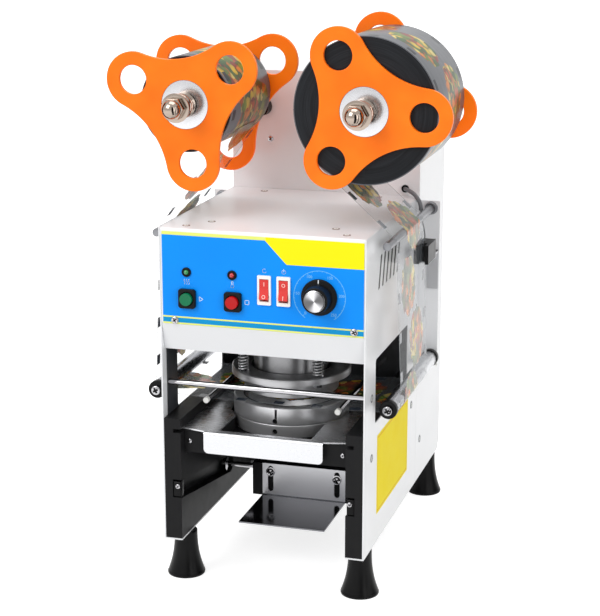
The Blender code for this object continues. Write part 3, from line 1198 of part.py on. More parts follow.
def sensor(machine):
    """Fork sensor over the film's rear edge, its arm on the right ear and its lead to the tower."""
    left, right = SENSOR_X, SENSOR_X + SENSOR_WIDTH
    mouth = FILM_BACK - SENSOR_GRIP
    slot = left + SENSOR_SLOT_IN
    outline = [(left, mouth), (slot, mouth), (slot, FILM_BACK + 2 * SHEET),
               (slot + SENSOR_SLOT, FILM_BACK + 2 * SHEET), (slot + SENSOR_SLOT, mouth), (right, mouth),
               (right, SENSOR_REAR), (left, SENSOR_REAR)]
    top = SENSOR_Z + SENSOR_HEIGHT
    head = plate(outline, SENSOR_Z, top, "z")
    ear = FRONT_DEPTH - GAP
    arm_high = left + SENSOR_ARM_WIDTH
    under = SENSOR_Z - SENSOR_ARM
    arm = box(left, arm_high, FILM_BACK + 4 * SHEET, ear, under, SENSOR_Z + SHEET / 2)
    foot = box(left, arm_high, ear - SENSOR_ARM, ear, SENSOR_Z - SENSOR_PLATE_HEIGHT, SENSOR_Z + SHEET / 2)
    node("film_sensor", fuse(head, arm, foot), Finish.BLACK, machine)
    lane = (HALF + UPPER_ROD_X - UPPER_ROD_R) / 2
    high = COVER_TOP + CABLE_TAIL
    start_y = BULKHEAD_BACK + CABLE_TAIL
    entry = (left + SENSOR_SLOT_IN / 2, (FILM_BACK + SENSOR_REAR) / 2 + 2 * SHEET)
    route = [Vector((CABLE_HOLE_X, start_y, CABLE_HOLE_Z)),
             Vector((CABLE_HOLE_X, FRONT_DEPTH - CABLE_TAIL / 2, CABLE_HOLE_Z)),
             Vector((CABLE_HOLE_X + CABLE_TAIL / 2, FRONT_DEPTH - 2 * CABLE_TAIL, high)),
             Vector((lane - CABLE_R / 2, FRONT_DEPTH - 3 * CABLE_TAIL, high - CABLE_R)),
             Vector((lane, entry[1] + CABLE_TAIL / 4, UPPER_ROD_Z + CABLE_R)),
             Vector((lane, entry[1], UPPER_ROD_Z - 2 * UPPER_ROD_R)),
             Vector((entry[0], entry[1], top + CABLE_TAIL / 2)),
             Vector((entry[0], entry[1], top + 2 * GAP))]
    curve = bpy.data.curves.new("sensor_cable", "CURVE")
    curve.dimensions = "3D"
    curve.bevel_depth = CABLE_R
    curve.bevel_resolution = CABLE_SIDES
    curve.use_fill_caps = True
    line = smooth_route(route, CABLE_SMOOTH)
    spline = curve.splines.new("POLY")
    spline.points.add(len(line) - 1)
    for point, place in zip(spline.points, line):
        point.co = (*place, 1)
    guide = bpy.data.objects.new("cable_guide", curve)
    bpy.context.scene.collection.objects.link(guide)
    bm = bmesh.new()
    bm.from_mesh(guide.evaluated_get(bpy.context.evaluated_depsgraph_get()).to_mesh())
    bpy.data.objects.remove(guide)
    bmesh.ops.remove_doubles(bm, verts=bm.verts, dist=1e-5)
    node("sensor_cable", closed(bm), Finish.CABLE, machine)


def rear_contents(machine):
    """Take-up gear motor and mains inlet."""
    start = BULKHEAD_BACK + GAP
    left = -REEL_X - DRIVE_BOX_EDGE
    gearbox = box(left, left + DRIVE_BOX_WIDTH, start, start + DRIVE_BOX_DEPTH,
                  REEL_Z - DRIVE_BOX_LOW, REEL_Z + DRIVE_BOX_UP)
    can = rod(DRIVE_CAN_R, start + DRIVE_BOX_DEPTH - SHEET, start + DRIVE_BOX_DEPTH + DRIVE_CAN, "y",
              (BOSS_X, 0, BOSS_Z))
    boss = rod(BOSS_R, FRONT_DEPTH - BOSS_PROUD, start + SHEET, "y", (BOSS_X, 0, BOSS_Z))
    bore = rod(SHAFT_R + RUN, start - SHEET, start + DRIVE_BOX_DEPTH - SHEET, "y", (-REEL_X, 0, REEL_Z))
    node("takeup_motor", cut(fuse(gearbox, can, boss), bore), Finish.BLACK, machine)
    back = BODY_BACK
    wide, tall = INLET_WIDTH / 2, INLET_HEIGHT / 2
    flange = plate(rectangle(INLET_X - wide - INLET_FLANGE, INLET_X + wide + INLET_FLANGE,
                             INLET_Z - tall - INLET_FLANGE, INLET_Z + tall + INLET_FLANGE),
                   back + GAP, back + GAP + INLET_FLANGE_THICK, "y")
    shell = plate(rectangle(INLET_X - wide, INLET_X + wide, INLET_Z - tall, INLET_Z + tall),
                  back - INLET_DEPTH, back + GAP + SHEET, "y")
    wall = 2 * SHEET
    mouth = plate(rectangle(INLET_X - wide + wall, INLET_X + wide - wall, INLET_Z - tall + wall,
                            INLET_Z + tall - wall), back - INLET_DEPTH + wall, back + 2 * INLET_FLANGE, "y")
    node("mains_inlet", cut(fuse(flange, shell), mouth), Finish.BLACK, machine)


def overall_centre():
    """Middle of the machine's overall box, seen from above."""
    def reach(turns, sign):
        angles = [turn + i * 2 * pi / 3 for turn in turns for i in range(3)]
        return LOBE_RADIUS + LOBE_CIRCLE * max(sign * cos(angle) for angle in angles)
    left = -REEL_X - reach((TAKEUP_FRONT_TURN, TAKEUP_REAR_TURN), -1)
    right = REEL_X + reach((SUPPLY_FRONT_TURN, SUPPLY_REAR_TURN), 1)
    front = TRIM_Y - RUN - KNOB_LENGTH - KNOB_CAP
    back = BODY_BACK + GAP + INLET_FLANGE_THICK
    return (left + right) / 2, (front + back) / 2


def main():
    for item in list(bpy.data.objects):
        bpy.data.objects.remove(item)
    middle = overall_centre()
    machine = empty("machine", (-middle[0], -middle[1], 0))
    tray_slide = empty("tray_slide", (0, DIE_Y, TRAY_TOP), machine)
    lift_slide = empty("lift_slide", (0, LIFT_AXLE_Y, LIFT_AXLE_Z), machine)
    head_slide = empty("press_slide", (0, DIE_Y, HEAD_BOTTOM), machine)
    knife_slide = empty("knife_slide", (0, DIE_Y, KNIFE_PLATE_LOW), machine)
    crank_turn = empty("crank_turn", (0, CRANK_Y, CRANK_Z), machine)
    supply_turn = empty("supply_turn", (REEL_X, REEL_FRONT, REEL_Z), machine)
    takeup_turn = empty("takeup_turn", (-REEL_X, REEL_FRONT, REEL_Z), machine)
    left_turn = empty("left_roller_turn", (-ROLLER_X, ROLLER_FRONT, ROLLER_Z), machine)
    right_turn = empty("right_roller_turn", (ROLLER_X, ROLLER_FRONT, ROLLER_Z), machine)
    start_press = empty("start_press", (START_X, TRIM_Y, BUTTON_Z), machine)
    stop_press = empty("stop_press", (STOP_X, TRIM_Y, BUTTON_Z), machine)
    mode_tilt = empty("mode_tilt", (MODE_ROCKER_X, ROCKER_PIVOT_DEPTH, ROCKER_Z), machine)
    power_tilt = empty("power_tilt", (POWER_ROCKER_X, ROCKER_PIVOT_DEPTH, ROCKER_Z), machine)
    knob_turn = empty("knob_turn", (KNOB_X, TRIM_Y, KNOB_Z), machine)

    side_plate("left_side_plate", machine)
    side_plate("right_side_plate", machine)
    front_cover(machine)
    bulkhead(machine)
    tower_cover(machine)
    feet(machine)
    rail("left_rail", machine)
    rail("right_rail", machine)
    tray(tray_slide)
    carriage(tray_slide)
    die(tray_slide)
    lift(lift_slide)
    press_head(head_slide)
    knife(knife_slide)
    press_drive(machine, crank_turn)
    reel("supply", REEL_X, SUPPLY_R, SUPPLY_FRONT_TURN, SUPPLY_REAR_TURN, supply_turn)
    reel("takeup", -REEL_X, TAKEUP_R, TAKEUP_FRONT_TURN, TAKEUP_REAR_TURN, takeup_turn)
    film_web(machine)
    film_rods(machine)
    roller("left_roller", -ROLLER_X, left_turn)
    roller("right_roller", ROLLER_X, right_turn)
    lamps(machine)
    buttons(machine, start_press, stop_press)
    rockers(machine, mode_tilt, power_tilt)
    knob(machine, knob_turn)
    sensor(machine)
    rear_contents(machine)
    bpy.context.view_layer.update()


main()
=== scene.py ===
"""Looks of the cup sealing machine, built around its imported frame.

Lengths are in millimetres on the machine: x = 0 is the middle of the body, y = 0 is the face of
the control panel and z = 0 is the table. piece() turns them into the frame's metres.
"""

import math
from math import asin, atan2, cos, hypot, pi, radians, sin

import bmesh
import bpy
from mathutils import Matrix, Vector


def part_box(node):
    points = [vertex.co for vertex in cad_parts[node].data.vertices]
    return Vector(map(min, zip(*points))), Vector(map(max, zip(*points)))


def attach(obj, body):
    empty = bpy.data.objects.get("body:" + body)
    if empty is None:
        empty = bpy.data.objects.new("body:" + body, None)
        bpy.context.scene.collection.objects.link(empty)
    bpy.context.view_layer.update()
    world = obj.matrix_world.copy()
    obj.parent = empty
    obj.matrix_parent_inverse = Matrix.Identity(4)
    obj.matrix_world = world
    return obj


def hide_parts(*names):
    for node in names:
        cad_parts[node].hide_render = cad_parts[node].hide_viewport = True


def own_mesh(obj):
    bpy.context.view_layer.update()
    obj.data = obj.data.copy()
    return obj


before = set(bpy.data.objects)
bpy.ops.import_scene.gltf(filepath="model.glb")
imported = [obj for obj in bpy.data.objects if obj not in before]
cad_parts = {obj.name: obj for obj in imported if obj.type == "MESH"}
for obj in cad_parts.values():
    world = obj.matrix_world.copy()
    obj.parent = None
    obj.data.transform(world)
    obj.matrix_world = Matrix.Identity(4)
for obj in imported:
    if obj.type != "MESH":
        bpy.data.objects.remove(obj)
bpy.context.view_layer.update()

MM = 0.001
cover_low, cover_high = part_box("front_cover")
ORIGIN = Vector(((cover_low.x + cover_high.x) / 2, cover_low.y, 0))
BODY_SIDE = (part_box("right_side_plate")[1].x - ORIGIN.x) / MM
COVER_TOP = cover_high.z / MM
BULKHEAD_FACE = (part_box("press_bracket")[1].y - ORIGIN.y) / MM + 0.3


def span(node):
    """Lowest and highest corner of a CAD node, in millimetres on the machine."""
    low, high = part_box(node)
    return (low - ORIGIN) / MM, (high - ORIGIN) / MM


def middle(node):
    low, high = span(node)
    return (low + high) / 2


def linear(red, green, blue):
    """A screen colour, 0 to 255, as linear light."""
    return tuple((c / 255 / 12.92) if c <= 10 else ((c / 255 + 0.055) / 1.055) ** 2.4
                 for c in (red, green, blue))


# Materials

class Value:
    """A number that varies over a surface. Arithmetic on it adds Math nodes."""

    def __init__(self, finish, socket):
        self.finish = finish
        self.socket = socket

    def math(self, operation, *others):
        """A Math node on this value and the others."""
        return self.finish.node("Math", {"operation": operation}, dict(enumerate((self, *others))))

    def __add__(self, other):
        return self.math("ADD", other)

    __radd__ = __add__

    def __sub__(self, other):
        return self.math("SUBTRACT", other)

    def __rsub__(self, other):
        return self.finish.node("Math", {"operation": "SUBTRACT"}, {0: other, 1: self})

    def __mul__(self, other):
        return self.math("MULTIPLY", other)

    __rmul__ = __mul__

    def __truediv__(self, other):
        return self.math("DIVIDE", other)

    def __pow__(self, other):
        return self.math("POWER", other)

    def __gt__(self, other):
        return self.math("GREATER_THAN", other)

    def __lt__(self, other):
        return self.math("LESS_THAN", other)

    def __abs__(self):
        return self.math("ABSOLUTE")

    def cycle(self, period):
        """The value's remainder, from 0 up to the period."""
        return self.math("FLOORED_MODULO", period)

    def between(self, low, high):
        return (self > low) * (self < high)


def distance(u, v):
    """Length of a flat vector whose two parts vary over a surface."""
    return (u * u + v * v) ** 0.5


class Finish:
    """A material on the Principled shader, with its nodes written as expressions."""

    def __init__(self, name, colour, roughness=0.4, metallic=0.0, **constants):
        self.material = bpy.data.materials.new(name)
        self.material.use_nodes = True
        self.tree = self.material.node_tree
        self.shader = self.tree.nodes["Principled BSDF"]
        self.colour = linear(*colour)
        self.slot = None
        self.wear(**{"Base Color": self.colour, "Roughness": roughness, "Metallic": metallic})
        self.wear(**{key.replace("_", " ").title().replace("Ior", "IOR"): value
                     for key, value in constants.items()})

    def wear(self, **values):
        """Sets or links the shader's own sockets."""
        for key, value in values.items():
            self.feed(self.shader.inputs[key], value)

    def feed(self, socket, value):
        if isinstance(value, Value):
            self.tree.links.new(value.socket, socket)
        elif socket.type == "RGBA":
            socket.default_value = (*value, 1)
        else:
            socket.default_value = value

    def node(self, kind, settings=None, inputs=None, output=0):
        """A node of that kind: its settings first, then the values or links of its sockets."""
        made = self.tree.nodes.new("ShaderNode" + kind)
        for key, value in (settings or {}).items():
            if key == "stops":
                self.set_stops(made.color_ramp, value)
            elif key == "interpolation":
                made.color_ramp.interpolation = value
            else:
                setattr(made, key, value)
        for key, value in (inputs or {}).items():
            self.feed(made.inputs[key], value)
        return Value(self, made.outputs[output])

    def set_stops(self, ramp, stops):
        while len(ramp.elements) < len(stops):
            ramp.elements.new(0.5)
        for element, (position, colour) in zip(ramp.elements, stops):
            element.position = position
            element.color = (*colour, 1)

    def spot(self, centre=(0, 0, 0)):
        """The place on the machine at rest in millimetres, measured from a centre."""
        point = self.node("TexCoord", output="Object")
        start = tuple(ORIGIN + Vector(centre) * MM)
        return self.scaled(self.vector("SUBTRACT", point, start), 1 / MM)

    def axes(self, centre=(0, 0, 0)):
        """The three coordinates of spot() as numbers."""
        return self.parts(self.spot(centre))

    def parts(self, vector):
        """A vector's three numbers."""
        split = self.tree.nodes.new("ShaderNodeSeparateXYZ")
        self.feed(split.inputs[0], vector)
        return [Value(self, output) for output in split.outputs]

    def flat(self, along, across):
        """A point on an unrolled surface."""
        return self.node("CombineXYZ", {}, {0: along, 1: across})

    def vector(self, operation, first, second):
        """A Vector Math node on two vectors."""
        return self.node("VectorMath", {"operation": operation}, {0: first, 1: second})

    def scaled(self, vector, factor):
        return self.node("VectorMath", {"operation": "SCALE"}, {0: vector, "Scale": factor})

    def noise(self, scale, stretch=(1, 1, 1), detail=3.0, point=None):
        """Cloudy pattern from 0 to 1; scale is in features per millimetre."""
        place = self.vector("MULTIPLY", point or self.spot(), stretch)
        return self.node("TexNoise", {}, {"Vector": place, "Scale": scale, "Detail": detail})

    def cloud(self, scale, reach, point):
        """A vector that wanders by that many millimetres over the surface."""
        turn = self.node("TexNoise", {}, {"Vector": point, "Scale": scale, "Detail": 1.0}, "Color")
        return self.scaled(self.vector("SUBTRACT", turn, (0.5, 0.5, 0.5)), 2 * reach)

    def blend(self, share, first, second):
        """Colours or values mixed; share 1 gives the second."""
        return self.node("Mix", {"data_type": "RGBA"}, {0: share, 6: first, 7: second}, 2)

    def tint(self, share, first, second):
        """Base colour that goes from the first to the second as the share grows."""
        self.wear(**{"Base Color": self.blend(share, first, second)})

    def over(self, share, colour):
        """Lays a colour over the surface where the share is 1."""
        socket = self.shader.inputs["Base Color"]
        under = Value(self, socket.links[0].from_socket) if socket.links else self.colour
        self.tint(share, under, linear(*colour))

    def bump(self, height, depth):
        """Relief of that depth in millimetres."""
        self.wear(Normal=self.node("Bump", {}, {"Height": height, "Distance": depth * MM}))


INNER_SHADE_INSET = 0.8
APRON_BACK = 12.0
HOUSING_FOOT = 58.0


def powder_paint(name, colour, inner_shade):
    """White powder coat with orange-peel relief; inside the housing its base colour is dark grey, painted
    shade for the unlit interior.
    """
    finish = Finish(name, colour, 0.3, coat_weight=0.25, coat_roughness=0.12)
    finish.wear(Roughness=0.26 + 0.14 * finish.noise(0.05))
    cloud = finish.noise(0.012, detail=2.0)
    coat = finish.blend(cloud, finish.colour, linear(*(c - 7 for c in colour)))
    x, y, z = finish.axes()
    # Painted shade: the base colour turns dark grey inside the housing, away from its outer faces.
    inside = (abs(x) < BODY_SIDE - INNER_SHADE_INSET) * y.between(APRON_BACK, BULKHEAD_FACE + INNER_SHADE_INSET)
    inside = inside * z.between(HOUSING_FOOT, COVER_TOP - INNER_SHADE_INSET)
    finish.tint(inside, coat, linear(*inner_shade))
    finish.bump(finish.noise(0.45, detail=2.0), 0.02)
    return finish


def brushed_metal(name, colour, roughness, grain=(1, 1, 1), depth=0.004, fine=3.0, contrast=0.86,
                  metallic=1.0):
    """Metal with grinding marks; the grain's short sides give the marks' direction."""
    finish = Finish(name, colour, roughness, metallic)
    marks = finish.noise(fine, grain, 4.0)
    smudge = finish.noise(0.04, detail=2.0)
    finish.wear(Roughness=roughness * (0.7 + 0.35 * marks + 0.3 * smudge))
    dark = linear(*(c * contrast for c in colour))
    finish.tint(marks, dark, finish.colour)
    if depth:
        finish.bump(marks, depth)
    return finish


def satin_black(name, level, roughness, relief=0.01, scale=1.2, shine=0.1):
    """Black metal, plastic or rubber: small grain, dusty patches."""
    finish = Finish(name, (level, level, level + 2), roughness, specular_ior_level=shine)
    dust = finish.noise(0.08, detail=4.0)
    finish.wear(Roughness=roughness * (0.8 + 0.4 * dust))
    finish.tint(dust, finish.colour, linear(*[level + 7] * 3))
    finish.bump(finish.noise(scale, detail=2.0), relief)
    return finish


def moulded(name, colour, shade, roughness, **constants):
    """Coloured plastic with soft clouding and a fine skin."""
    finish = Finish(name, colour, roughness, **constants)
    cloud = finish.noise(0.025, detail=2.0)
    finish.tint(cloud, finish.colour, linear(*shade))
    finish.wear(Roughness=roughness * (0.85 + 0.3 * finish.noise(0.05)))
    finish.bump(finish.noise(0.3, detail=1.0), 0.003)
    return finish


GLOW_REACH = 22


def painted_glow_orange(name, centre):
    """The rear plates' plastic, with a painted glow: emission that grows below the roll's centre, standing in
    for light let through.
    """
    finish = moulded(name + "_rear_orange", (255, 134, 20), (250, 98, 0), 0.32, specular_ior_level=0.25,
                     emission_strength=0.3)
    x, y, z = finish.axes()
    # Painted glow: share of orange emission, none above the roll's centre plus the reach, full below its
    # centre minus the reach.
    depth = (centre.z + GLOW_REACH - z) / (2 * GLOW_REACH)
    depth = depth.math("MAXIMUM", 0.0).math("MINIMUM", 1.0)
    finish.wear(**{"Emission Color": finish.blend(depth, (0.0, 0.0, 0.0), linear(250, 92, 0))})
    return finish


SHELF_BEND = 52.0


def folded_shelf():
    """Mirror-bright sheet of the cup shelf; its upright side is rougher, and its base colour is painted paler
    there and darker on the shelf: a painted reflection of the bright floor and the dark carriage above.
    """
    finish = brushed_metal("bright_sheet", (150, 151, 154), 0.14, (0.05, 1, 1), 0.001)
    x, y, z = finish.axes()
    # Painted reflection: paler base colour on the upright side, darker on the shelf.
    upright = z > SHELF_BEND
    finish.tint(upright, linear(126, 127, 131), linear(200, 200, 203))
    finish.wear(Roughness=0.12 + 0.2 * upright)
    return finish


def spun(name, colour, centre, pitch, axis="y", roughness=0.16):
    """Bright metal turned on a lathe: fine circles round the centre, and a painted bow-tie highlight, base
    colour lighter and darker in sectors by angle.
    """
    finish = Finish(name, colour, roughness, 1.0)
    x, y, z = finish.axes(centre)
    across = {"x": (y, z), "y": (x, z), "z": (x, y)}[axis]
    wave = (distance(*across) * (2 * pi / pitch)).math("SINE")
    finish.wear(Roughness=roughness * (1.1 + 0.3 * wave))
    # Painted highlight: base colour lighter and darker in sectors round the centre.
    sweep = across[0].math("ARCTAN2", across[1]) * 2 + 0.7
    painted_highlight = (0.5 + 0.5 * sweep.math("COSINE")) ** 2.0
    finish.tint(painted_highlight, linear(*(c * 0.42 for c in colour)), finish.colour)
    finish.bump(wave, 0.006)
    return finish


FILM_MIDDLE = sum(span("film_web")[i].y for i in (0, 1)) / 2
MOTIF_PITCH = 126.0
MOTIF_RADIUS = 31.0
MOTIF_PLACES = ((20.0, -15.0), (83.0, 16.0))
MARK_PITCH = 42.0
FRUIT = [(0.0, (58, 92, 34)), (0.16, (126, 150, 40)), (0.30, (232, 196, 52)), (0.44, (240, 138, 36)),
         (0.58, (206, 84, 26)), (0.68, (74, 112, 44)), (0.80, (150, 48, 28)), (0.90, (246, 222, 120))]


def film_print(finish, along, across, spread):
    """Staggered clusters of round patches in fruit colours, with register marks near both edges.

    Returns how much the ink covers, the ink's colour, and the register marks.
    """
    point = finish.flat(along, across)
    reach = None
    for offset, side in MOTIF_PLACES:
        u = (along + offset).cycle(MOTIF_PITCH) - MOTIF_PITCH / 2
        radius = distance(u, across - (FILM_MIDDLE + side))
        reach = reach.math("MINIMUM", radius) if reach else radius
    inside = reach + 16 * finish.noise(0.07, detail=2.0, point=point) < spread + 8
    bent = finish.vector("ADD", point, finish.cloud(0.1, 5.0, point))
    patch, rim = (finish.node("TexVoronoi", {}, {"Vector": bent, "Scale": 0.1}, output)
                  for output in ("Color", "Distance"))
    tone = finish.node("SeparateColor", {}, {0: patch})
    palette = finish.node("ValToRGB", {"interpolation": "CONSTANT",
                                       "stops": [(at, linear(*colour)) for at, colour in FRUIT]},
                          {"Fac": tone})
    palette = finish.blend(rim * rim * 0.9, palette, linear(48, 52, 24))
    edge = abs(across - FILM_MIDDLE)
    marks = along.cycle(MARK_PITCH).between(0.0, 11.0) * edge.between(52.0, 61.0)
    return inside, palette, marks


def finish_film(finish, along, across, clear, spread=MOTIF_RADIUS, marks_colour=(64, 72, 84),
                muted=0.22):
    ink, palette, marks = film_print(finish, along, across, spread)
    palette = finish.blend(muted, palette, linear(*(c * 0.62 for c in clear)))
    printed = finish.blend(ink, linear(*clear), palette)
    finish.tint(marks, printed, linear(*marks_colour))
    return ink, marks


def web_film():
    """The clear printed film between the reels."""
    finish = Finish("printed_film", (226, 230, 232), 0.12, specular_ior_level=0.6)
    along, across = (part / MM for part in finish.parts(finish.node("UVMap", {"uv_map": "length"}))[:2])
    ink, marks = finish_film(finish, along, across, (150, 155, 160))
    hem = abs(across - FILM_MIDDLE) > 61.8
    finish.wear(Alpha=0.12 + 0.66 * ink + 0.8 * marks * (1 - ink) + 0.34 * hem * (1 - ink))
    finish.bump(finish.noise(0.035, (1, 2.2, 1), 1.0, finish.flat(along, across)), 0.5)
    return finish


def roll_film(name, centre, radius, spread):
    """The outer turn of a roll: the same print, denser through its grey layers."""
    finish = Finish(name, (84, 86, 90), 0.3, specular_ior_level=0.25)
    x, y, z = finish.axes((centre.x, 0, centre.z))
    along = x.math("ARCTAN2", z) * radius
    finish_film(finish, along, y, (96, 98, 103), spread * MOTIF_RADIUS, (38, 41, 46), 0.25)
    finish.wear(Roughness=0.26 + 0.1 * finish.noise(0.05))
    finish.bump(finish.noise(0.03, (0.4, 3.0, 1), 2.0, finish.flat(along, y)), 0.35)
    return finish


def roll_side(name, centre):
    """The wound edges of a roll: fine dark circles with broken grey streaks."""
    finish = Finish(name, (44, 46, 49), 0.42, specular_ior_level=0.12)
    x, y, z = finish.axes((centre.x, 0, centre.z))
    point = finish.flat(distance(x, z), x.math("ARCTAN2", z) * 1.4)
    streak = finish.noise(1.1, (1, 1, 1), 4.0, point)
    band = finish.noise(0.22, (1, 0.6, 1), 2.0, point)
    shade = finish.blend(streak * band * 2.0, linear(4, 4, 6), linear(46, 48, 52))
    finish.wear(**{"Base Color": shade, "Roughness": 0.32 + 0.3 * streak})
    finish.bump(streak, 0.06)
    return finish


# Shapes, as bmeshes in millimetres

AXES = {"x": lambda u, v, w: (w, u, v), "y": lambda u, v, w: (u, w, v), "z": lambda u, v, w: (u, v, w)}


def arc(centre, radius, start, end, count):
    """Points along a circular arc, both ends included, angles in radians."""
    step = (end - start) / count
    return [(centre[0] + radius * cos(start + step * i), centre[1] + radius * sin(start + step * i))
            for i in range(count + 1)]


def circle(centre, radius, count=64):
    return arc(centre, radius, 0, 2 * pi, count)[:-1]


def rounded(low_u, high_u, low_v, high_v, radius, count=8):
    """A rectangle whose corners are quarter circles."""
    corners = [((high_u - radius, low_v + radius), -pi / 2), ((high_u - radius, high_v - radius), 0),
               ((low_u + radius, high_v - radius), pi / 2), ((low_u + radius, low_v + radius), pi)]
    return [point for centre, start in corners
            for point in arc(centre, radius, start, start + pi / 2, count)]


def moved_in(ring, distance):
    """The closed ring moved towards its left-hand side by a distance."""
    moved = []
    for i, here in enumerate(ring):
        before, after = ring[i - 1], ring[(i + 1) % len(ring)]
        first = Vector((here[0] - before[0], here[1] - before[1])).normalized()
        second = Vector((after[0] - here[0], after[1] - here[1])).normalized()
        left = Vector((-first.y, first.x))
        both = (left + Vector((-second.y, second.x))).normalized()
        reach = distance / max(both.dot(left), 0.4)
        moved.append((here[0] + both.x * reach, here[1] + both.y * reach))
    return moved


def turning(ring):
    """Twice the signed area: positive for an anticlockwise ring."""
    return sum(a[0] * b[1] - b[0] * a[1] for a, b in zip(ring, ring[1:] + ring[:1]))


def slab(outline, low, high, axis, holes=(), edge=0.4, steps=3):
    """Flat plate with holes whose edges are all rounded by a small radius."""
    bm = bmesh.new()
    angles = [pi / 2 * i / steps for i in range(steps + 1)]
    curve = [(edge * (1 - sin(a)), edge * (1 - cos(a))) for a in angles]
    levels = [(inset, low + rise) for inset, rise in curve]
    levels += [(inset, high - rise) for inset, rise in reversed(curve)]
    caps = ([], [])
    for index, ring in enumerate([outline, *holes]):
        if (turning(ring) > 0) != (index == 0):
            ring = ring[::-1]
        rows = []
        for inset, height in levels:
            rows.append([bm.verts.new(AXES[axis](u, v, height)) for u, v in moved_in(ring, inset)])
        for here, there in zip(rows, rows[1:]):
            for i in range(len(ring)):
                bm.faces.new((here[i - 1], here[i], there[i], there[i - 1]))
        for cap, row in zip(caps, (rows[0], rows[-1])):
            cap += [bm.edges.get((row[i - 1], row[i])) for i in range(len(row))]
    for cap in caps:
        bmesh.ops.triangle_fill(bm, use_beauty=True, edges=cap)
    return bm


def lathe(profile, axis, centre, segments=72, ring=False):
    """A profile of (radius, height) points turned about an axis; a ring's profile closes on itself."""
    bm = bmesh.new()
    grid = []
    poles = {}
    for step in range(segments):
        angle = 2 * pi * step / segments
        row = []
        for index, (radius, height) in enumerate(profile):
            if radius == 0 and index in poles:
                row.append(poles[index])
                continue
            place = Vector(AXES[axis](radius * cos(angle), radius * sin(angle), height)) + Vector(centre)
            row.append(bm.verts.new(place))
            if radius == 0:
                poles[index] = row[-1]
        grid.append(row)
    for step in range(segments):
        here, there = grid[step - 1], grid[step]
        for index in range(len(profile) if ring else len(profile) - 1):
            after = (index + 1) % len(profile)
            loop = [here[index], there[index], there[after], here[after]]
            bm.faces.new([vert for i, vert in enumerate(loop) if vert is not loop[i - 1]])
    return bm


def softened(profile, edge=0.4, steps=3, ring=False):
    """The profile with its corners rounded off; points on the axis stay."""
    out = []
    count = len(profile)
    for i, here in enumerate(profile):
        end = i in (0, count - 1) and not ring
        if end or here[0] == 0:
            out.append(here)
            continue
        before, after = Vector(profile[i - 1]), Vector(profile[(i + 1) % count])
        corner = Vector(here)
        reach = min(edge, (before - corner).length * 0.45, (after - corner).length * 0.45)
        start = corner + (before - corner).normalized() * reach
        stop = corner + (after - corner).normalized() * reach
        for j in range(steps + 1):
            t = j / steps
            out.append(tuple((1 - t) ** 2 * start + 2 * t * (1 - t) * corner + t ** 2 * stop))
    return out


def turned(profile, axis, centre, edge=0.4, segments=72, ring=False):
    return lathe(softened(profile, edge, ring=ring), axis, centre, segments, ring)


def hoop(inner, outer, low, high, axis, centre, edge=0.4, segments=72):
    """A washer, collar or tube."""
    return turned([(inner, low), (outer, low), (outer, high), (inner, high)], axis, centre, edge,
                  segments, True)


def bar(radius, low, high, axis, centre, edge=0.5, segments=40):
    return turned([(0, low), (radius, low), (radius, high), (0, high)], axis, centre, edge, segments)


def tube(path, radius, sides=12):
    """Round wire along a path of points."""
    bm = bmesh.new()
    points = [Vector(point) for point in path]
    side = None
    rings = []
    for i, here in enumerate(points):
        ahead = points[min(i + 1, len(points) - 1)] - points[max(i - 1, 0)]
        ahead.normalize()
        if side is None:
            side = ahead.orthogonal().normalized()
        side = (side - ahead * side.dot(ahead)).normalized()
        up = ahead.cross(side)
        rings.append([bm.verts.new(here + radius * (side * cos(a) + up * sin(a)))
                      for a in (2 * pi * j / sides for j in range(sides))])
    for here, there in zip(rings, rings[1:]):
        for j in range(sides):
            bm.faces.new((here[j - 1], here[j], there[j], there[j - 1]))
    bm.faces.new(rings[0])
    bm.faces.new(rings[-1])
    return bm


def coil(radius, wire, turns, low, high, axis, centre, steps=24, sides=10):
    """Helical spring with its end turns closed up."""
    count = int(turns * steps)
    points = []
    for i in range(count + 1):
        share = i / count
        rise = share - 0.9 / turns * sin(2 * pi * share) / (2 * pi)
        height = low + wire + (high - low - 2 * wire) * rise
        angle = 2 * pi * i / steps
        points.append(Vector(AXES[axis](radius * cos(angle), radius * sin(angle), height)) + Vector(centre))
    return tube(points, wire, sides)


def joined(*shapes):
    """Several shapes in one mesh."""
    whole = bmesh.new()
    for shape in shapes:
        mesh = bpy.data.meshes.new("part")
        shape.to_mesh(mesh)
        shape.free()
        whole.from_mesh(mesh)
        bpy.data.meshes.remove(mesh)
    return whole


def carved(shape, *tools):
    """The shape with closed tools cut out of it."""
    for tool in tools:
        things = []
        for bm in (shape, tool):
            bmesh.ops.recalc_face_normals(bm, faces=bm.faces)
            mesh = bpy.data.meshes.new("shape")
            bm.to_mesh(mesh)
            bm.free()
            things.append(bpy.data.objects.new("shape", mesh))
            bpy.context.scene.collection.objects.link(things[-1])
        modifier = things[0].modifiers.new("cut", "BOOLEAN")
        modifier.solver = "EXACT"
        modifier.operation = "DIFFERENCE"
        modifier.object = things[1]
        shape = bmesh.new()
        shape.from_object(things[0], bpy.context.evaluated_depsgraph_get())
        for thing in things:
            mesh = thing.data
            bpy.data.objects.remove(thing)
            bpy.data.meshes.remove(mesh)
    return shape


def facing(direction):
    """Rotation that turns +Z to a direction."""
    return Vector(direction).to_track_quat("Z", "Y").to_matrix().to_4x4()


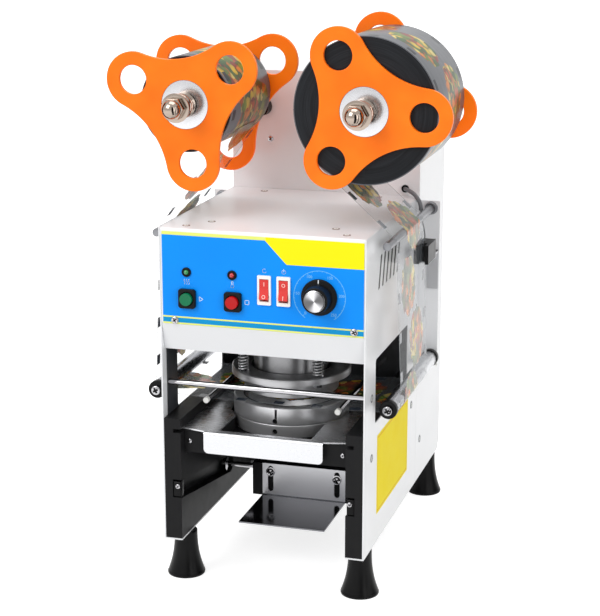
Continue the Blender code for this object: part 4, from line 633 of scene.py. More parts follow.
def piece(name, shape, finish, body="frame", replaces=(), crease=32, weighted=False):
    """Makes a shape an object of the scene, on the body it moves with and with its finish's material."""
    bmesh.ops.recalc_face_normals(shape, faces=shape.faces)
    shape.transform(Matrix.Translation(ORIGIN) @ Matrix.Scale(MM, 4))
    mesh = bpy.data.meshes.new(name)
    shape.to_mesh(mesh)
    shape.free()
    mesh.shade_smooth()
    mesh.set_sharp_from_angle(angle=radians(crease))
    mesh.materials.append(finish.material)
    made = bpy.data.objects.new(name, mesh)
    bpy.context.scene.collection.objects.link(made)
    if weighted:
        made.modifiers.new("flat_faces", "WEIGHTED_NORMAL").keep_sharp = True
    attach(made, body)
    if replaces:
        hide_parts(*replaces)
    return made


def dress(node, finish, edge=0.35):
    """Keeps a CAD node, with a finish and small rounded edges."""
    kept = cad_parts[node]
    kept.data.materials.clear()
    kept.data.materials.append(finish.material)
    if edge:
        bevel = kept.modifiers.new("edges", "BEVEL")
        bevel.width = edge * MM
        bevel.segments = 2
        bevel.limit_method = "ANGLE"
        bevel.angle_limit = radians(40)
        bevel.harden_normals = True
    return kept


FORWARD = (0, -1, 0)
UP = (0, 0, 1)
RECESS_SHADES = {}


def pan_screw(place, out, radius, rise=0.42, bold=0.16, body="frame"):
    """Domed screw head with a cross recess, seated at a place and facing out; the black floor of its recess,
    painted shade, is kept by body.
    """
    height = radius * rise
    dome = [(radius * cos(a), height * (0.3 + 0.7 * sin(a))) for a in (pi * i / 14 for i in range(7))]
    head = lathe([(0, -0.3), (radius, -0.3), (radius, 0), *dome, (0, height)], "z", (0, 0, 0), 36)
    arm, half, deep = radius * 0.62, radius * bold, height * 0.32
    for a, b in ((arm, half), (half, arm)):
        cross = [(-a, -b), (a, -b), (a, b), (-a, b)]
        head = carved(head, slab(cross, deep, height + 1, "z", edge=0.02, steps=1))
    seat = Matrix.Translation(place) @ facing(out) @ Matrix.Rotation(0.5, 4, "Z")
    head.transform(seat)
    # Painted shade: a black slab at the bottom of the cross recess.
    arm, half = arm - 0.04, half - 0.04
    floor = [(-arm, -half), (-half, -half), (-half, -arm), (half, -arm), (half, -half), (arm, -half),
             (arm, half), (half, half), (half, arm), (-half, arm), (-half, half), (-arm, half)]
    floor = slab(floor, deep - 0.05, deep + 0.25, "z", edge=0.01, steps=1)
    floor.transform(seat)
    RECESS_SHADES.setdefault(body, []).append(floor)
    return head


def cup_washer(place, out, radius):
    """Shallow ring round a countersunk head."""
    cup = turned([(radius * 0.62, -0.2), (radius * 0.62, 0.2), (radius * 0.85, 0.5), (radius * 1.15, 0.3),
                  (radius * 1.2, -0.2)], "z", (0, 0, 0), 0.15, 40, True)
    cup.transform(Matrix.Translation(place) @ facing(out))
    return cup


# Finishes

# The last colour is the painted shade inside the housing.
PAINT = powder_paint("white_paint", (236, 237, 239), (60, 62, 66))
STEEL = brushed_metal("stainless_sheet", (214, 215, 218), 0.26, (0.05, 1, 1), 0.001, 3.0, 0.96, 0.9)
TURNED = brushed_metal("turned_steel", (222, 222, 224), 0.34, (0.06, 0.06, 1), 0.003, 5.0, 0.9, 0.8)
POLISHED = brushed_metal("polished_steel", (218, 218, 221), 0.22, (0.15, 0.15, 1), 0)
SPRING = brushed_metal("spring_wire", (236, 236, 238), 0.3, (1, 1, 1), 0, 0.05, 0.96, 0.6)
ROD = brushed_metal("rod_steel", (146, 147, 151), 0.3, (1, 0.04, 1), 0.002, metallic=0.85)
HEATER = brushed_metal("heater_steel", (158, 158, 160), 0.3, (0.15, 0.15, 1), 0)
KNIFE = brushed_metal("knife_steel", (196, 196, 198), 0.34, (0.06, 0.06, 1), 0.003, 5.0, 0.9, 0.8)
DARK_STEEL = brushed_metal("dark_steel", (104, 105, 108), 0.34, (1, 1, 0.1), 0)
# Painted shade: the side screws' cup rings are darker grey, for the shade of the dimple round each head.
SHADE_RING_GREY = Finish("shade_ring_grey", (128, 130, 134), 0.45, 0.4)
WORN = Finish("worn_washer", (134, 112, 104), 0.45, 0.3)
CHROME = brushed_metal("chrome", (188, 187, 190), 0.08, (1, 1, 1), 0, 0.05, 0.96)
NICKEL = brushed_metal("warm_nickel", (170, 156, 144), 0.1, (1, 1, 1), 0, 0.05, 0.94)
ALUMINIUM = brushed_metal("aluminium", (206, 207, 211), 0.26, (1, 0.04, 1), 0.002)
ANODISED = satin_black("black_anodised", 28, 0.36, 0.006, 2.0, 0.08)
BLACK = satin_black("black_plastic", 14, 0.3, 0.004, shine=0.12)
RUBBER = satin_black("foot_rubber", 6, 0.32, 0.02, 0.8, 0.14)
# The orange plastic has a faint painted glow (emission).
ORANGE = moulded("orange_plastic", (255, 136, 22), (250, 98, 0), 0.32, specular_ior_level=0.25,
                 emission_color=linear(250, 96, 2), emission_strength=0.07)
GREEN = moulded("green_plastic", (0, 120, 76), (0, 104, 66), 0.34, specular_ior_level=0.3)
RED = moulded("red_plastic", (196, 16, 18), (176, 10, 14), 0.34, specular_ior_level=0.3)
CREAM = moulded("cream_plastic", (250, 250, 247), (242, 241, 236), 0.35)
CABLE = moulded("grey_cable", (112, 114, 118), (92, 94, 98), 0.45)
INK = moulded("white_ink", (240, 246, 250), (230, 240, 248), 0.5)
DIAL_INK = moulded("dial_ink", (136, 204, 246), (120, 194, 240), 0.5)
FILM = web_film()
SLOTS = {"polished_steel": (POLISHED, SPRING, ROD, SHADE_RING_GREY, WORN, CHROME, NICKEL),
         "brushed_steel": (TURNED, KNIFE), "aluminium": (HEATER, ALUMINIUM), "black_plastic": (BLACK,),
         "foot_rubber": (RUBBER,), "orange_plastic": (ORANGE,), "green_plastic": (GREEN,),
         "red_plastic": (RED,), "cream_plastic": (CREAM,), "grey_cable": (CABLE,), "film": (FILM,)}
for slot_name, finishes in SLOTS.items():
    for each in finishes:
        each.slot = slot_name


# Camera, light and stage

CAMERA_PLACE = (506.8, -1574.8, 743.5)
CAMERA_DOWN = 14.554
CAMERA_TURN = 16.464
CAMERA_LENS = 100.79
LAMPS_PLACED = (("key", (-1100, -1500, 1900), 1.5, 30), ("fill", (1700, -1100, 900), 1.6, 16),
                ("top", (0, 300, 2200), 1.4, 16))
LAMP_AIM = Vector((0, 150, 280))
DARK_SECTORS = ((-138, -94), (16, 42), (56, 68), (94, 140))
CARD_MIDDLE = 108
CARD_NEAR = 330
CARD_FAR = 2600
WALL_AWAY = 1900
WALL_HEIGHT = 1800


def stage():
    """Pale floor, white surroundings, three soft lamps and the photograph's camera."""
    scene = bpy.context.scene
    scene.view_settings.view_transform = "Standard"
    camera = bpy.data.objects.new("camera", bpy.data.cameras.new("camera"))
    scene.collection.objects.link(camera)
    camera.location = ORIGIN + Vector(CAMERA_PLACE) * MM
    camera.rotation_euler = (radians(90 - CAMERA_DOWN), 0, radians(CAMERA_TURN))
    camera.data.lens = CAMERA_LENS
    camera.data.sensor_width = 36
    camera.data.sensor_fit = "HORIZONTAL"
    camera.data.clip_end = 100
    scene.camera = camera

    world = bpy.data.worlds.new("studio")
    scene.world = world
    world.use_nodes = True
    tree = world.node_tree
    strength = tree.nodes.new("ShaderNodeMapRange")
    strength.inputs["To Min"].default_value = 0.6
    tree.links.new(background_rays(tree), strength.inputs["Value"])
    tree.links.new(strength.outputs[0], tree.nodes["Background"].inputs["Strength"])
    tree.nodes["Background"].inputs["Color"].default_value = (1, 1, 1, 1)

    for name, place, size, power in LAMPS_PLACED:
        lamp = bpy.data.lights.new(name, "AREA")
        lamp.size = size
        lamp.energy = power
        holder = bpy.data.objects.new(name, lamp)
        scene.collection.objects.link(holder)
        holder.location = ORIGIN + Vector(place) * MM
        aim = LAMP_AIM * MM + ORIGIN - holder.location
        holder.rotation_euler = aim.to_track_quat("-Z", "Y").to_euler()

    pale = Finish("floor", (200, 200, 200), 0.9)
    x, y, z = pale.axes()
    far = (distance(x, y) / 1500).math("MINIMUM", 1.0)
    shown = Value(pale, background_rays(pale.tree))
    pale.wear(**{"Emission Color": (1, 1, 1), "Emission Strength": shown * (0.72 + 0.28 * far)})
    floor = plane("floor", (0, 0, -0.05), (0, 0, 1), 30000, 30000)
    floor.data.materials.append(pale.material)

    dark = Finish("dark_card", (10, 10, 10), 0.9)
    for low, high in DARK_SECTORS:
        start, end = radians(low), radians(high)
        rim = arc((0, CARD_MIDDLE), CARD_FAR, start - pi / 2, end - pi / 2, 4)
        inner = arc((0, CARD_MIDDLE), CARD_NEAR, end - pi / 2, start - pi / 2, 4)
        card = flat_card(f"dark_card_{low}", [(x, y, 0.3) for x, y in rim + inner])
        out = Vector((sin((start + end) / 2), -cos((start + end) / 2), 0))
        foot = Vector((0, CARD_MIDDLE, WALL_HEIGHT / 2))
        wall = plane(f"dark_wall_{low}", foot + out * WALL_AWAY, -out, WALL_AWAY * (end - start),
                     WALL_HEIGHT)
        for dark_card in (card, wall):
            dark_card.data.materials.append(dark.material)
            for ray in ("camera", "diffuse", "shadow", "transmission"):
                setattr(dark_card, "visible_" + ray, False)


def background_rays(tree):
    """Socket that is 1 where the camera, a reflection or a clear film looks, and 0 for light."""
    rays = tree.nodes.new("ShaderNodeLightPath")
    shown = rays.outputs["Is Camera Ray"]
    for kind in ("Is Glossy Ray", "Is Transmission Ray"):
        either = tree.nodes.new("ShaderNodeMath")
        either.operation = "MAXIMUM"
        tree.links.new(shown, either.inputs[0])
        tree.links.new(rays.outputs[kind], either.inputs[1])
        shown = either.outputs[0]
    return shown


def plane(name, place, out, wide, tall):
    """A flat stage card in millimetres that faces a direction."""
    turn = facing(out)
    corners = [(-wide, -tall, 0), (wide, -tall, 0), (wide, tall, 0), (-wide, tall, 0)]
    return flat_card(name, [turn @ Vector(corner) / 2 + Vector(place) for corner in corners])


def flat_card(name, corners):
    """One stage face through corners given in millimetres."""
    mesh = bpy.data.meshes.new(name)
    mesh.from_pydata([Vector(corner) * MM + ORIGIN for corner in corners], [], [range(len(corners))])
    card = bpy.data.objects.new(name, mesh)
    bpy.context.scene.collection.objects.link(card)
    return card


# Body

KEPT = ((PAINT, 0.3, ("left_side_plate", "right_side_plate", "front_cover", "bulkhead", "tower_cover")),
        (ANODISED, 0.4, ("left_rail", "right_rail", "carriage", "lift_block")),
        (DARK_STEEL, 0.3, ("press_bracket", "press_plate", "crank")),
        (ALUMINIUM, 0.3, ("press_motor",)),
        (BLACK, 0.2, ("takeup_motor", "thermostat", "mains_inlet")),
        (STEEL, 0.25, ("tray_sheet",)))
SIDES = {"left": -1, "right": 1}
SLOT_COUNT = 6
SLOT_PITCH = 16.2
SLOT_START = 54
SLOT_LOW = 329
SLOT_HIGH = 363
SLOT_HALF = 2.9
SLOT_LEAN = 10


def housing():
    """Sheets, rails and motors keep their CAD shape, with soft edges; the slots get painted shade, a black
    sheet behind them and black borders round them.
    """
    for finish, edge, nodes in KEPT:
        for node in nodes:
            dress(node, finish, edge)
    dress("lift_bracket", folded_shelf(), 0.25)
    for name, side in SIDES.items():
        # Painted shade: a black sheet just inside the side plate darkens the slots.
        sheet = slab(rounded(46, 152, 324, 368, 2), *at_side(side, 107.0, 107.6), "x", edge=0.1, steps=1)
        piece("slot_sheet_" + name, sheet, BLACK)
        # Painted shadow: black borders on the outer face make the slots look wider and darker.
        shadow_rims = []
        for i in range(SLOT_COUNT):
            foot = SLOT_START + SLOT_PITCH * i
            head = foot + SLOT_LEAN
            rim = [(foot - SLOT_HALF, SLOT_LOW), (foot + SLOT_HALF, SLOT_LOW),
                   (head + SLOT_HALF, SLOT_HIGH), (head - SLOT_HALF, SLOT_HIGH)]
            shadow_rims.append(slab(rim, *at_side(side, 109.9, 110.06), "x", edge=0.02, steps=1))
        piece("slot_rims_" + name, joined(*shadow_rims), BLACK)
    buffers()


def at_side(side, near, far):
    """Two distances from the middle as x on that side, the lower one first."""
    return sorted((side * near, side * far))


GROOVE_SLOPE = 0.16428


def buffers():
    """Rubber stop and its screw in the mouth of each rail's groove."""
    axle = middle("lift_axle")
    rise = axle.z + GROOVE_SLOPE * (axle.y - 8)
    block = rounded(1.2, 10.8, rise - 9, rise + 9, 2)
    stops = [slab(block, *at_side(side, 91.2, 99.5), "x", edge=0.6) for side in (-1, 1)]
    heads = [pan_screw((side * 94.4, 1.2, rise + 3.5), FORWARD, 2.6, 0.55) for side in (-1, 1)]
    piece("groove_stops", joined(*stops), RUBBER)
    piece("groove_stop_screws", joined(*heads), CHROME)


FOOT_TOP = 12.5


def feet():
    """Flared rubber feet with a bolt in each."""
    for side in SIDES:
        for end in ("front", "rear"):
            node = f"{side}_{end}_foot"
            low, high = span(node)
            place = ((low.x + high.x) / 2, (low.y + high.y) / 2, 0)
            base = (high.x - low.x) / 2
            height = high.z - low.z
            flare = [(FOOT_TOP + (base - 0.5 - FOOT_TOP) * (1 - i / 24) ** 2.4,
                      3.6 + (height - 4.4) * i / 24) for i in range(25)]
            profile = [(0, 18), (6, 18), (6, 0.8), (6.8, 0), (base - 1.2, 0), (base - 0.3, 0.35),
                       (base, 1.2), (base, 2.4), (base - 0.3, 3.1), (base - 0.7, 3.3), *flare,
                       (FOOT_TOP - 0.6, height), (0, height)]
            piece(node + "_rubber", lathe(profile, "z", place), RUBBER, replaces=(node,), crease=40)
            bolt = turned([(0, 17), (4.6, 17), (4.6, 13.6), (0, 13)], "z", place, 0.6, 32)
            piece(node + "_bolt", bolt, CHROME)


COVER_SCREWS = ((67, 43), (85.5, 16.5), (67, 223.5))
TOWER_SCREWS = ((64.7, 449), (34.6, 483))
SIDE_SCREWS = ((28.5, 218.7), (30.4, 153), (215.9, 154.3), (263.8, 97.7), (263.8, 300), (263.8, 480))
PANEL_SCREWS = ((-93.3, 294.6), (98.2, 296.0))


def screw_set(name, seats, radius, rise, finish=CHROME, body="frame"):
    """Screw heads in one piece; each seat is its place and the way it faces."""
    heads = [pan_screw(*seat, radius, rise, body=body) for seat in seats]
    piece(name + "_screws", joined(*heads), finish, body)


def washer_set(name, seats, radius, finish):
    piece(name + "_washers", joined(*(cup_washer(*seat, radius) for seat in seats)), finish)


def screws():
    """Heads on the cover, the tower, the side plates, the panel and the carriage."""
    top = [((x * side, y, COVER_TOP), UP) for side in (-1, 1) for x, y in COVER_SCREWS]
    flank = [((BODY_SIDE * side, y, z), (side, 0, 0)) for side in (-1, 1) for y, z in SIDE_SCREWS]
    tower = [((x * side, BULKHEAD_FACE, z), FORWARD) for side in (-1, 1) for x, z in TOWER_SCREWS]
    screw_set("cover", top, 2.7, 0.3, CREAM)
    washer_set("cover", top, 3.5, WORN)
    screw_set("tower", tower, 3.3, 0.35)
    screw_set("side", flank, 2.5, 0.2, CREAM)
    # The side screws' cup rings carry the painted shade of their dimples.
    washer_set("side", flank, 3.8, SHADE_RING_GREY)
    screw_set("panel", [((x, -0.5, z), FORWARD) for x, z in PANEL_SCREWS], 4.0, 0.5)
    screw_set("carriage", [((x, 12, 159.5), FORWARD) for x in (-84, 84)], 2.5, 0.5, body="tray")


# Panel

PANEL = {"left": -106.5, "right": 108.0, "low": 290.6, "high": 388.0}
KNOB = middle("temperature_knob")
LAMPS = {name: middle(name) for name in ("green_lamp", "red_lamp")}
BUTTONS = {"start": middle("start_collar"), "stop": middle("stop_collar")}
ROCKERS = {"mode": middle("mode_switch_case"), "power": middle("power_switch_case")}
DIAL_RADIUS = 27.0
DIAL_SWEEP = 2.55
TEAL_TOP = 297.4
TEAL_LINE = (297.4, 299.0)
LOW_LINE = 292.3
CORNER_LEFT = 4.2
CORNER_LOW = 361.0
CORNER_HIGH = 385.0
CORNER_SLOPE = 1.04
STRIP_LOW = 384.6


def overlay():
    """Printed sheet: blue field, yellow corner, pale strips, and the dial's ring."""
    finish = Finish("panel_print", (8, 134, 222), 0.36, specular_ior_level=0.2)
    x, y, z = finish.axes()
    blue = linear(0, 148, 252)
    teal = linear(6, 146, 206)
    yellow = linear(252, 238, 10)
    pale = linear(232, 240, 120)
    ground = finish.blend(finish.noise(0.02, detail=1.0), blue, linear(0, 138, 244))
    ground = finish.blend(z < TEAL_TOP, ground, teal)
    lines = z.between(*TEAL_LINE).math("MAXIMUM", z < LOW_LINE)
    ground = finish.blend(lines, ground, pale)
    diagonal = z > CORNER_HIGH - (x - CORNER_LEFT) * CORNER_SLOPE
    corner = diagonal * (z > CORNER_LOW) * (x > CORNER_LEFT)
    ground = finish.blend(corner, ground, yellow)
    strip = (z > STRIP_LOW) * (x < CORNER_LEFT + 1)
    ground = finish.blend(strip, ground, pale)
    u, v = x - KNOB.x, z - KNOB.z
    ring = distance(u, v).between(DIAL_RADIUS - 0.3, DIAL_RADIUS + 0.3)
    finish.tint(ring * (abs(u.math("ARCTAN2", v)) < DIAL_SWEEP), ground, linear(110, 190, 240))
    finish.wear(Roughness=0.3 + 0.14 * finish.noise(0.06))
    finish.bump(finish.noise(1.4, detail=1.0), 0.004)
    holes = [circle((lamp.x, lamp.z), 3.9, 32) for lamp in LAMPS.values()]
    for centres, wide, tall, radius, count in ((BUTTONS, 8.8, 8.8, 2, 4), (ROCKERS, 6.2, 13.6, 0.5, 2)):
        holes += [rounded(c.x - wide, c.x + wide, c.z - tall, c.z + tall, radius, count)
                  for c in centres.values()]
    holes.append(circle((KNOB.x, KNOB.z), 4.0, 32))
    sheet = rounded(PANEL["left"], PANEL["right"], PANEL["low"], PANEL["high"], 0.8, 4)
    piece("panel_overlay", slab(sheet, -0.25, 0.02, "y", holes, 0.04, 1), finish, weighted=True)


def strokes(name, paths, width, finish=INK, depth=0.06, face=-0.26):
    """Thin printed lines on the panel, each a path of (x, z) points."""
    shapes = []
    for path in paths:
        for start, end in zip(path, path[1:]):
            start, end = Vector(start), Vector(end)
            along = (end - start).normalized() * width / 2
            side = Vector((-along.y, along.x))
            start, end = start - along, end + along
            shapes.append(slab([start + side, start - side, end - side, end + side], face - depth, face,
                               "y", edge=0.01, steps=1))
    piece(name, joined(*shapes), finish)


def figures(name, words, height, finish, face=-0.26):
    """Printed numbers; words holds (text, x, z)."""
    shapes = []
    for text, x, z in words:
        curve = bpy.data.curves.new("figure", "FONT")
        curve.body = text
        curve.size = height
        curve.align_x = "CENTER"
        curve.align_y = "CENTER"
        curve.extrude = 0.03
        holder = bpy.data.objects.new("figure", curve)
        bpy.context.scene.collection.objects.link(holder)
        mesh = holder.evaluated_get(bpy.context.evaluated_depsgraph_get()).to_mesh()
        shape = bmesh.new()
        shape.from_mesh(mesh)
        bmesh.ops.remove_doubles(shape, verts=shape.verts, dist=1e-4)
        shape.transform(Matrix.Translation((x, face - 0.03, z)) @ Matrix.Rotation(pi / 2, 4, "X"))
        bpy.data.objects.remove(holder)
        shapes.append(shape)
    piece(name, joined(*shapes), finish)


def panel_marks():
    """Dial numbers and plain signs for heat, warmth, start, stop, on and off."""
    dial = []
    for i, number in enumerate(("0", "50", "100", "150", "200", "250")):
        angle = radians(-140 + 56 * i)
        dial.append((number, KNOB.x + 23.0 * sin(angle), KNOB.z + 23.0 * cos(angle)))
    figures("dial_numbers", dial, 4.2, DIAL_INK)
    ticks = []
    for i in range(26):
        angle = radians(-140 + 11.2 * i)
        inner = DIAL_RADIUS - (1.8 if i % 5 == 0 else 1.0)
        ticks.append([(KNOB.x + r * sin(angle), KNOB.z + r * cos(angle)) for r in (inner, DIAL_RADIUS)])
    strokes("dial_ticks", ticks, 0.3, DIAL_INK)
    lines = []
    green, red = LAMPS["green_lamp"], LAMPS["red_lamp"]
    for shift in (-2.4, 0, 2.4):
        lines.append([(green.x + shift + 0.7 * sin(t * pi / 4), green.z - 12.6 + t * 0.62) for t in range(9)])
    bulb = arc((red.x, red.z - 11.6), 1.6, radians(120), radians(420), 14)
    lines.append([(red.x - 0.8, red.z - 6.6), *bulb, (red.x + 0.8, red.z - 6.6), (red.x - 0.8, red.z - 6.6)])
    start, stop = BUTTONS["start"], BUTTONS["stop"]
    lines.append([(start.x + 12.6, start.z - 2.4), (start.x + 12.6, start.z + 2.4), (start.x + 16.6, start.z),
                  (start.x + 12.6, start.z - 2.4)])
    lines.append([(stop.x + 12.4, stop.z - 2.1), (stop.x + 16.6, stop.z - 2.1), (stop.x + 16.6, stop.z + 2.1),
                  (stop.x + 12.4, stop.z + 2.1), (stop.x + 12.4, stop.z - 2.1)])
    mode, power = ROCKERS["mode"], ROCKERS["power"]
    lines.append(arc((mode.x, mode.z + 20), 2.0, radians(60), radians(330), 14))
    lines.append(arc((power.x, power.z + 20), 2.0, radians(120), radians(420), 14))
    lines.append([(power.x, power.z + 20.4), (power.x, power.z + 23)])
    strokes("panel_signs", lines, 0.5)


LENS_RADIUS = 2.66


def lamps():
    """Black bezel and collar with a domed coloured lens."""
    for name, glass in (("green_lamp", (30, 156, 76)), ("red_lamp", (206, 30, 32))):
        centre = LAMPS[name]
        place = (centre.x, 0, centre.z)
        bezel = turned([(3.5, -0.25), (5.0, -0.25), (5.0, -1.5), (4.3, -2.3), (3.5, -2.3)], "y", place, 0.25,
                       48, True)
        piece(name + "_bezel", bezel, BLACK, replaces=(name,))
        piece(name + "_collar", hoop(2.7, 3.52, -1.9, 8, "y", place, 0.1, 48), BLACK)
        finish = moulded(name + "_glass", glass, tuple(c * 0.75 for c in glass), 0.1, coat_weight=0.8,
                         coat_roughness=0.04)
        dome = [(LENS_RADIUS * cos(a), -1.4 - 2.6 * sin(a)) for a in (pi * i / 16 for i in range(8))]
        lens = lathe([(0, 8), (LENS_RADIUS, 8), *dome, (0, -4.0)], "y", place, 40)
        piece(name + "_lens", lens, finish, replaces=(name,))


BUTTON_RADIUS = 6.5
BUTTON_WELL = 6.85


def buttons():
    """Square collars with a round well, and dished button caps."""
    for name, finish in (("start", GREEN), ("stop", RED)):
        low, high = span(name + "_collar")
        centre = BUTTONS[name]
        place = (centre.x, 0, centre.z)
        square = rounded(low.x, high.x, low.z, high.z, 3.0, 6)
        well = circle((centre.x, centre.z), BUTTON_WELL, 56)
        collar = slab(square, -4.8, -0.3, "y", [well], 0.9, 4)
        barrel = hoop(BUTTON_WELL, 8.3, -1.0, 22, "y", place, 0.2, 56)
        piece(name + "_surround", joined(collar, barrel), BLACK, replaces=(name + "_collar",),
              weighted=True)
        front, back = span(name + "_button")
        dish = [(BUTTON_RADIUS * s, front.y + 0.5 - 0.5 * s) for s in (0.2, 0.4, 0.6, 0.8)]
        cap = softened([(0, front.y + 0.5), *dish, (BUTTON_RADIUS, front.y), (BUTTON_RADIUS, back.y),
                        (0, back.y)], 0.5)
        button = name + "_button"
        piece(name + "_cap", lathe(cap, "y", place, 56), finish, button, (button,))


MARK_RISE = 6.4


def rockers():
    """Cream cases, and red rockers with a printed line at one end and a ring at the other."""
    for name, up in (("mode", 1), ("power", -1)):
        finish = moulded(name + "_rocker_plastic", (226, 34, 20), (206, 24, 14), 0.3, coat_weight=0.15,
                         coat_roughness=0.15)
        x, y, z = finish.axes(tuple(ROCKERS[name]))
        rise = z * up
        ring = distance(x, rise + MARK_RISE).between(1.3, 1.95)
        line = (abs(x) < 0.36) * (abs(rise - MARK_RISE) < 2.1)
        finish.over(ring + line, (250, 206, 194))
        dress(name + "_switch_case", CREAM, 0.35)
        dress(name + "_rocker", finish, 0.3)


def knob():
    """Skirt with a pointer, a plain turned grip and a spun bright cap."""
    low, high = span("temperature_knob")
    front, back = low.y, high.y
    place = (KNOB.x, 0, KNOB.z)
    grip = front + 1.6
    skirt = [(18.8, back), (18.8, back - 2.0), (18.2, back - 2.9), (15.2, back - 3.5)]
    profile = [(3.3, back), *skirt, (14.5, back - 3.6), (13.4, grip + 0.6), (12.8, grip), (11.3, grip),
               (11.3, grip + 1.2), (3.3, grip + 1.2)]
    piece("knob_body", turned(profile, "y", place, 0.3, 96, True), BLACK, "knob", ("temperature_knob",))
    cap = softened([(0, front), (9.9, front), (11.2, front + 0.7), (11.2, grip + 1.1), (0, grip + 1.1)], 0.25)
    finish = spun("knob_cap_metal", (226, 226, 230), (KNOB.x, 0, KNOB.z), 0.5)
    piece("knob_cap", lathe(cap, "y", place, 96), finish, "knob")
    strokes("knob_pointer", [[(KNOB.x - 0.2, KNOB.z + 15.4), (KNOB.x - 0.2, KNOB.z + 18.0)]], 1.0,
            face=back - 2.95, depth=0.7)
    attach(bpy.data.objects["knob_pointer"], "knob")


# Press and cup tray

DIE = middle("die_upper_ring")


def dies():
    """Two turned rings with a set screw each, and the rubber that seals round the cup's rim."""
    place = (0, DIE.y, 0)
    low, high = span("die_lower_ring")
    foot, top = (corner.z for corner in span("die_upper_ring"))
    outer = (high.x - low.x) / 2
    bore = outer - 15.5
    rim = bore + 3.0
    seal = rim + 2.5
    lower = [(bore, low.z), (outer - 1, low.z), (outer, low.z + 1), (outer, high.z - 0.5),
             (outer - 0.5, high.z), (bore, high.z)]
    upper = [(bore, foot), (outer - 0.5, foot), (outer, foot + 0.5), (outer, top - 1), (outer - 1, top),
             (seal, top), (seal, top - 1.25), (rim, top - 1.25), (rim, top - 3), (bore, top - 3)]
    front = DIE.y - outer
    screws_in = []
    for name, profile, z in (("die_lower_ring", lower, high.z - 7.4), ("die_upper_ring", upper, high.z + 4)):
        ring = turned(profile, "z", place, 0.3, 160, True)
        hole = bar(2.9, front - 2, front + 8.5, "y", (0, 0, z), 0.01, 24)
        piece(name + "_turned", carved(ring, hole), TURNED, "tray", (name,), crease=24)
        screws_in.append(bar(2.75, front + 2.2, front + 8, "y", (0, 0, z), 0.3, 24))
    piece("die_set_screws", joined(*screws_in), BLACK, "tray")
    seat = hoop(rim + 0.2, seal - 0.2, top - 1.2, top - 0.2, "z", place, 0.3, 120)
    piece("die_rubber_seat", seat, RUBBER, "tray")


SPRING_RADIUS = 5.2
SPRING_WIRE = 0.75
SPRING_TURNS = 11
PLATE_LOW = 217.4
KNIFE_INSIDE = 50.1
KNIFE_OUTSIDE = 51.5
PLATE_BORE = 44
HEATER_NECK = 41


def press():
    """Heater with its seal disc, the round knife in its plate, and four springs."""
    place = (0, DIE.y, 0)
    low, high = span("heater_block")
    disc = (high.x - low.x) / 2
    profile = [(0, low.z + 0.2), (disc - 1.4, low.z + 0.2), (disc, low.z + 1.6), (disc, low.z + 4.9),
               (disc - 0.8, low.z + 5.7), (HEATER_NECK, low.z + 5.7), (HEATER_NECK, high.z), (0, high.z)]
    block = turned(profile, "z", place, 0.4, 128)
    piece("heater", block, HEATER, "press_head", ("heater_block",), crease=24)
    low, high = span("knife_plate")
    rim = (high.x - low.x) / 2
    profile = [(PLATE_BORE, PLATE_LOW), (KNIFE_INSIDE, PLATE_LOW), (KNIFE_INSIDE, low.z + 1),
               (KNIFE_OUTSIDE, low.z), (KNIFE_OUTSIDE, PLATE_LOW), (rim, PLATE_LOW), (rim, high.z - 1.2),
               (rim - 1.2, high.z), (PLATE_BORE, high.z)]
    ring = turned(profile, "z", place, 0.3, 160, True)
    piece("knife_ring", ring, KNIFE, "knife", ("knife_plate",), crease=24)
    for side in ("left", "right"):
        for end in ("front", "rear"):
            node = f"press_spring_{side}_{end}"
            low, high = span(node)
            centre = (low + high) / 2
            spring = coil(SPRING_RADIUS, SPRING_WIRE, SPRING_TURNS, low.z, high.z, "z",
                          (centre.x, centre.y, 0))
            made = piece(node + "_wire", spring, SPRING, "press_head", (node,))
            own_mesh(made)


LIFT_SCREWS = ((-39.3, 79.3), (39.3, 77.3))


def lift():
    """Axle with its two wheels, and the two washered screws on the cup shelf."""
    low, high = span("lift_axle")
    centre = (0, (low.y + high.y) / 2, (low.z + high.z) / 2)
    wheel = (high.z - low.z) / 2
    reach = high.x
    profile = [(0, -reach), (wheel, -reach), (wheel, 6 - reach), (3, 6 - reach), (3, reach - 6),
               (wheel, reach - 6), (wheel, reach), (0, reach)]
    piece("lift_axle_turned", turned(profile, "x", centre, 0.5, 48), CHROME, "lift", ("lift_axle",))
    face = span("lift_bracket")[1].y - 1.5
    heads = []
    for x, z in LIFT_SCREWS:
        washer = hoop(2.2, 5.4, face, face - 0.9, "y", (x, 0, z), 0.2, 40)
        heads += [washer, pan_screw((x, face - 0.9, z), FORWARD, 4.3, 0.6, bold=0.2, body="lift")]
    piece("lift_screws", joined(*heads), CHROME, "lift")


# Film

LOBE_CIRCLE = 61.5
LOBE_RADIUS = 29.0
LOBE_HOLE = 15
WAIST = 47.0
PLATE_THICK = 5
CLAMP_SEAT_RADIUS = 25.5
CLAMP_SEAT_DEPTH = 2.5


def lobed_outline(turn, shift_x, shift_z):
    """Three round lobes joined by hollow flanks, all arcs tangent to each other."""
    side = LOBE_CIRCLE * sin(pi / 3)
    inset = WAIST - LOBE_CIRCLE * cos(pi / 3)
    flank = (side ** 2 + inset ** 2 - LOBE_RADIUS ** 2) / (2 * (LOBE_RADIUS - inset))
    reach = flank + WAIST
    half = asin(side / (flank + LOBE_RADIUS))
    ring = []
    for i in range(3):
        angle = turn + i * 2 * pi / 3
        lobe = (shift_x + LOBE_CIRCLE * cos(angle), shift_z + LOBE_CIRCLE * sin(angle))
        ring += arc(lobe, LOBE_RADIUS, angle - pi / 3 - half, angle + pi / 3 + half, 36)
        between = angle + pi / 3
        centre = (shift_x + reach * cos(between), shift_z + reach * sin(between))
        ring += arc(centre, flank, between + pi + half, between + pi - half, 20)[1:-1]
    return ring


REEL_TURNS = {"supply": (-3.5, -13.8, 1.0), "takeup": (37.2, 32.1, 1.5)}


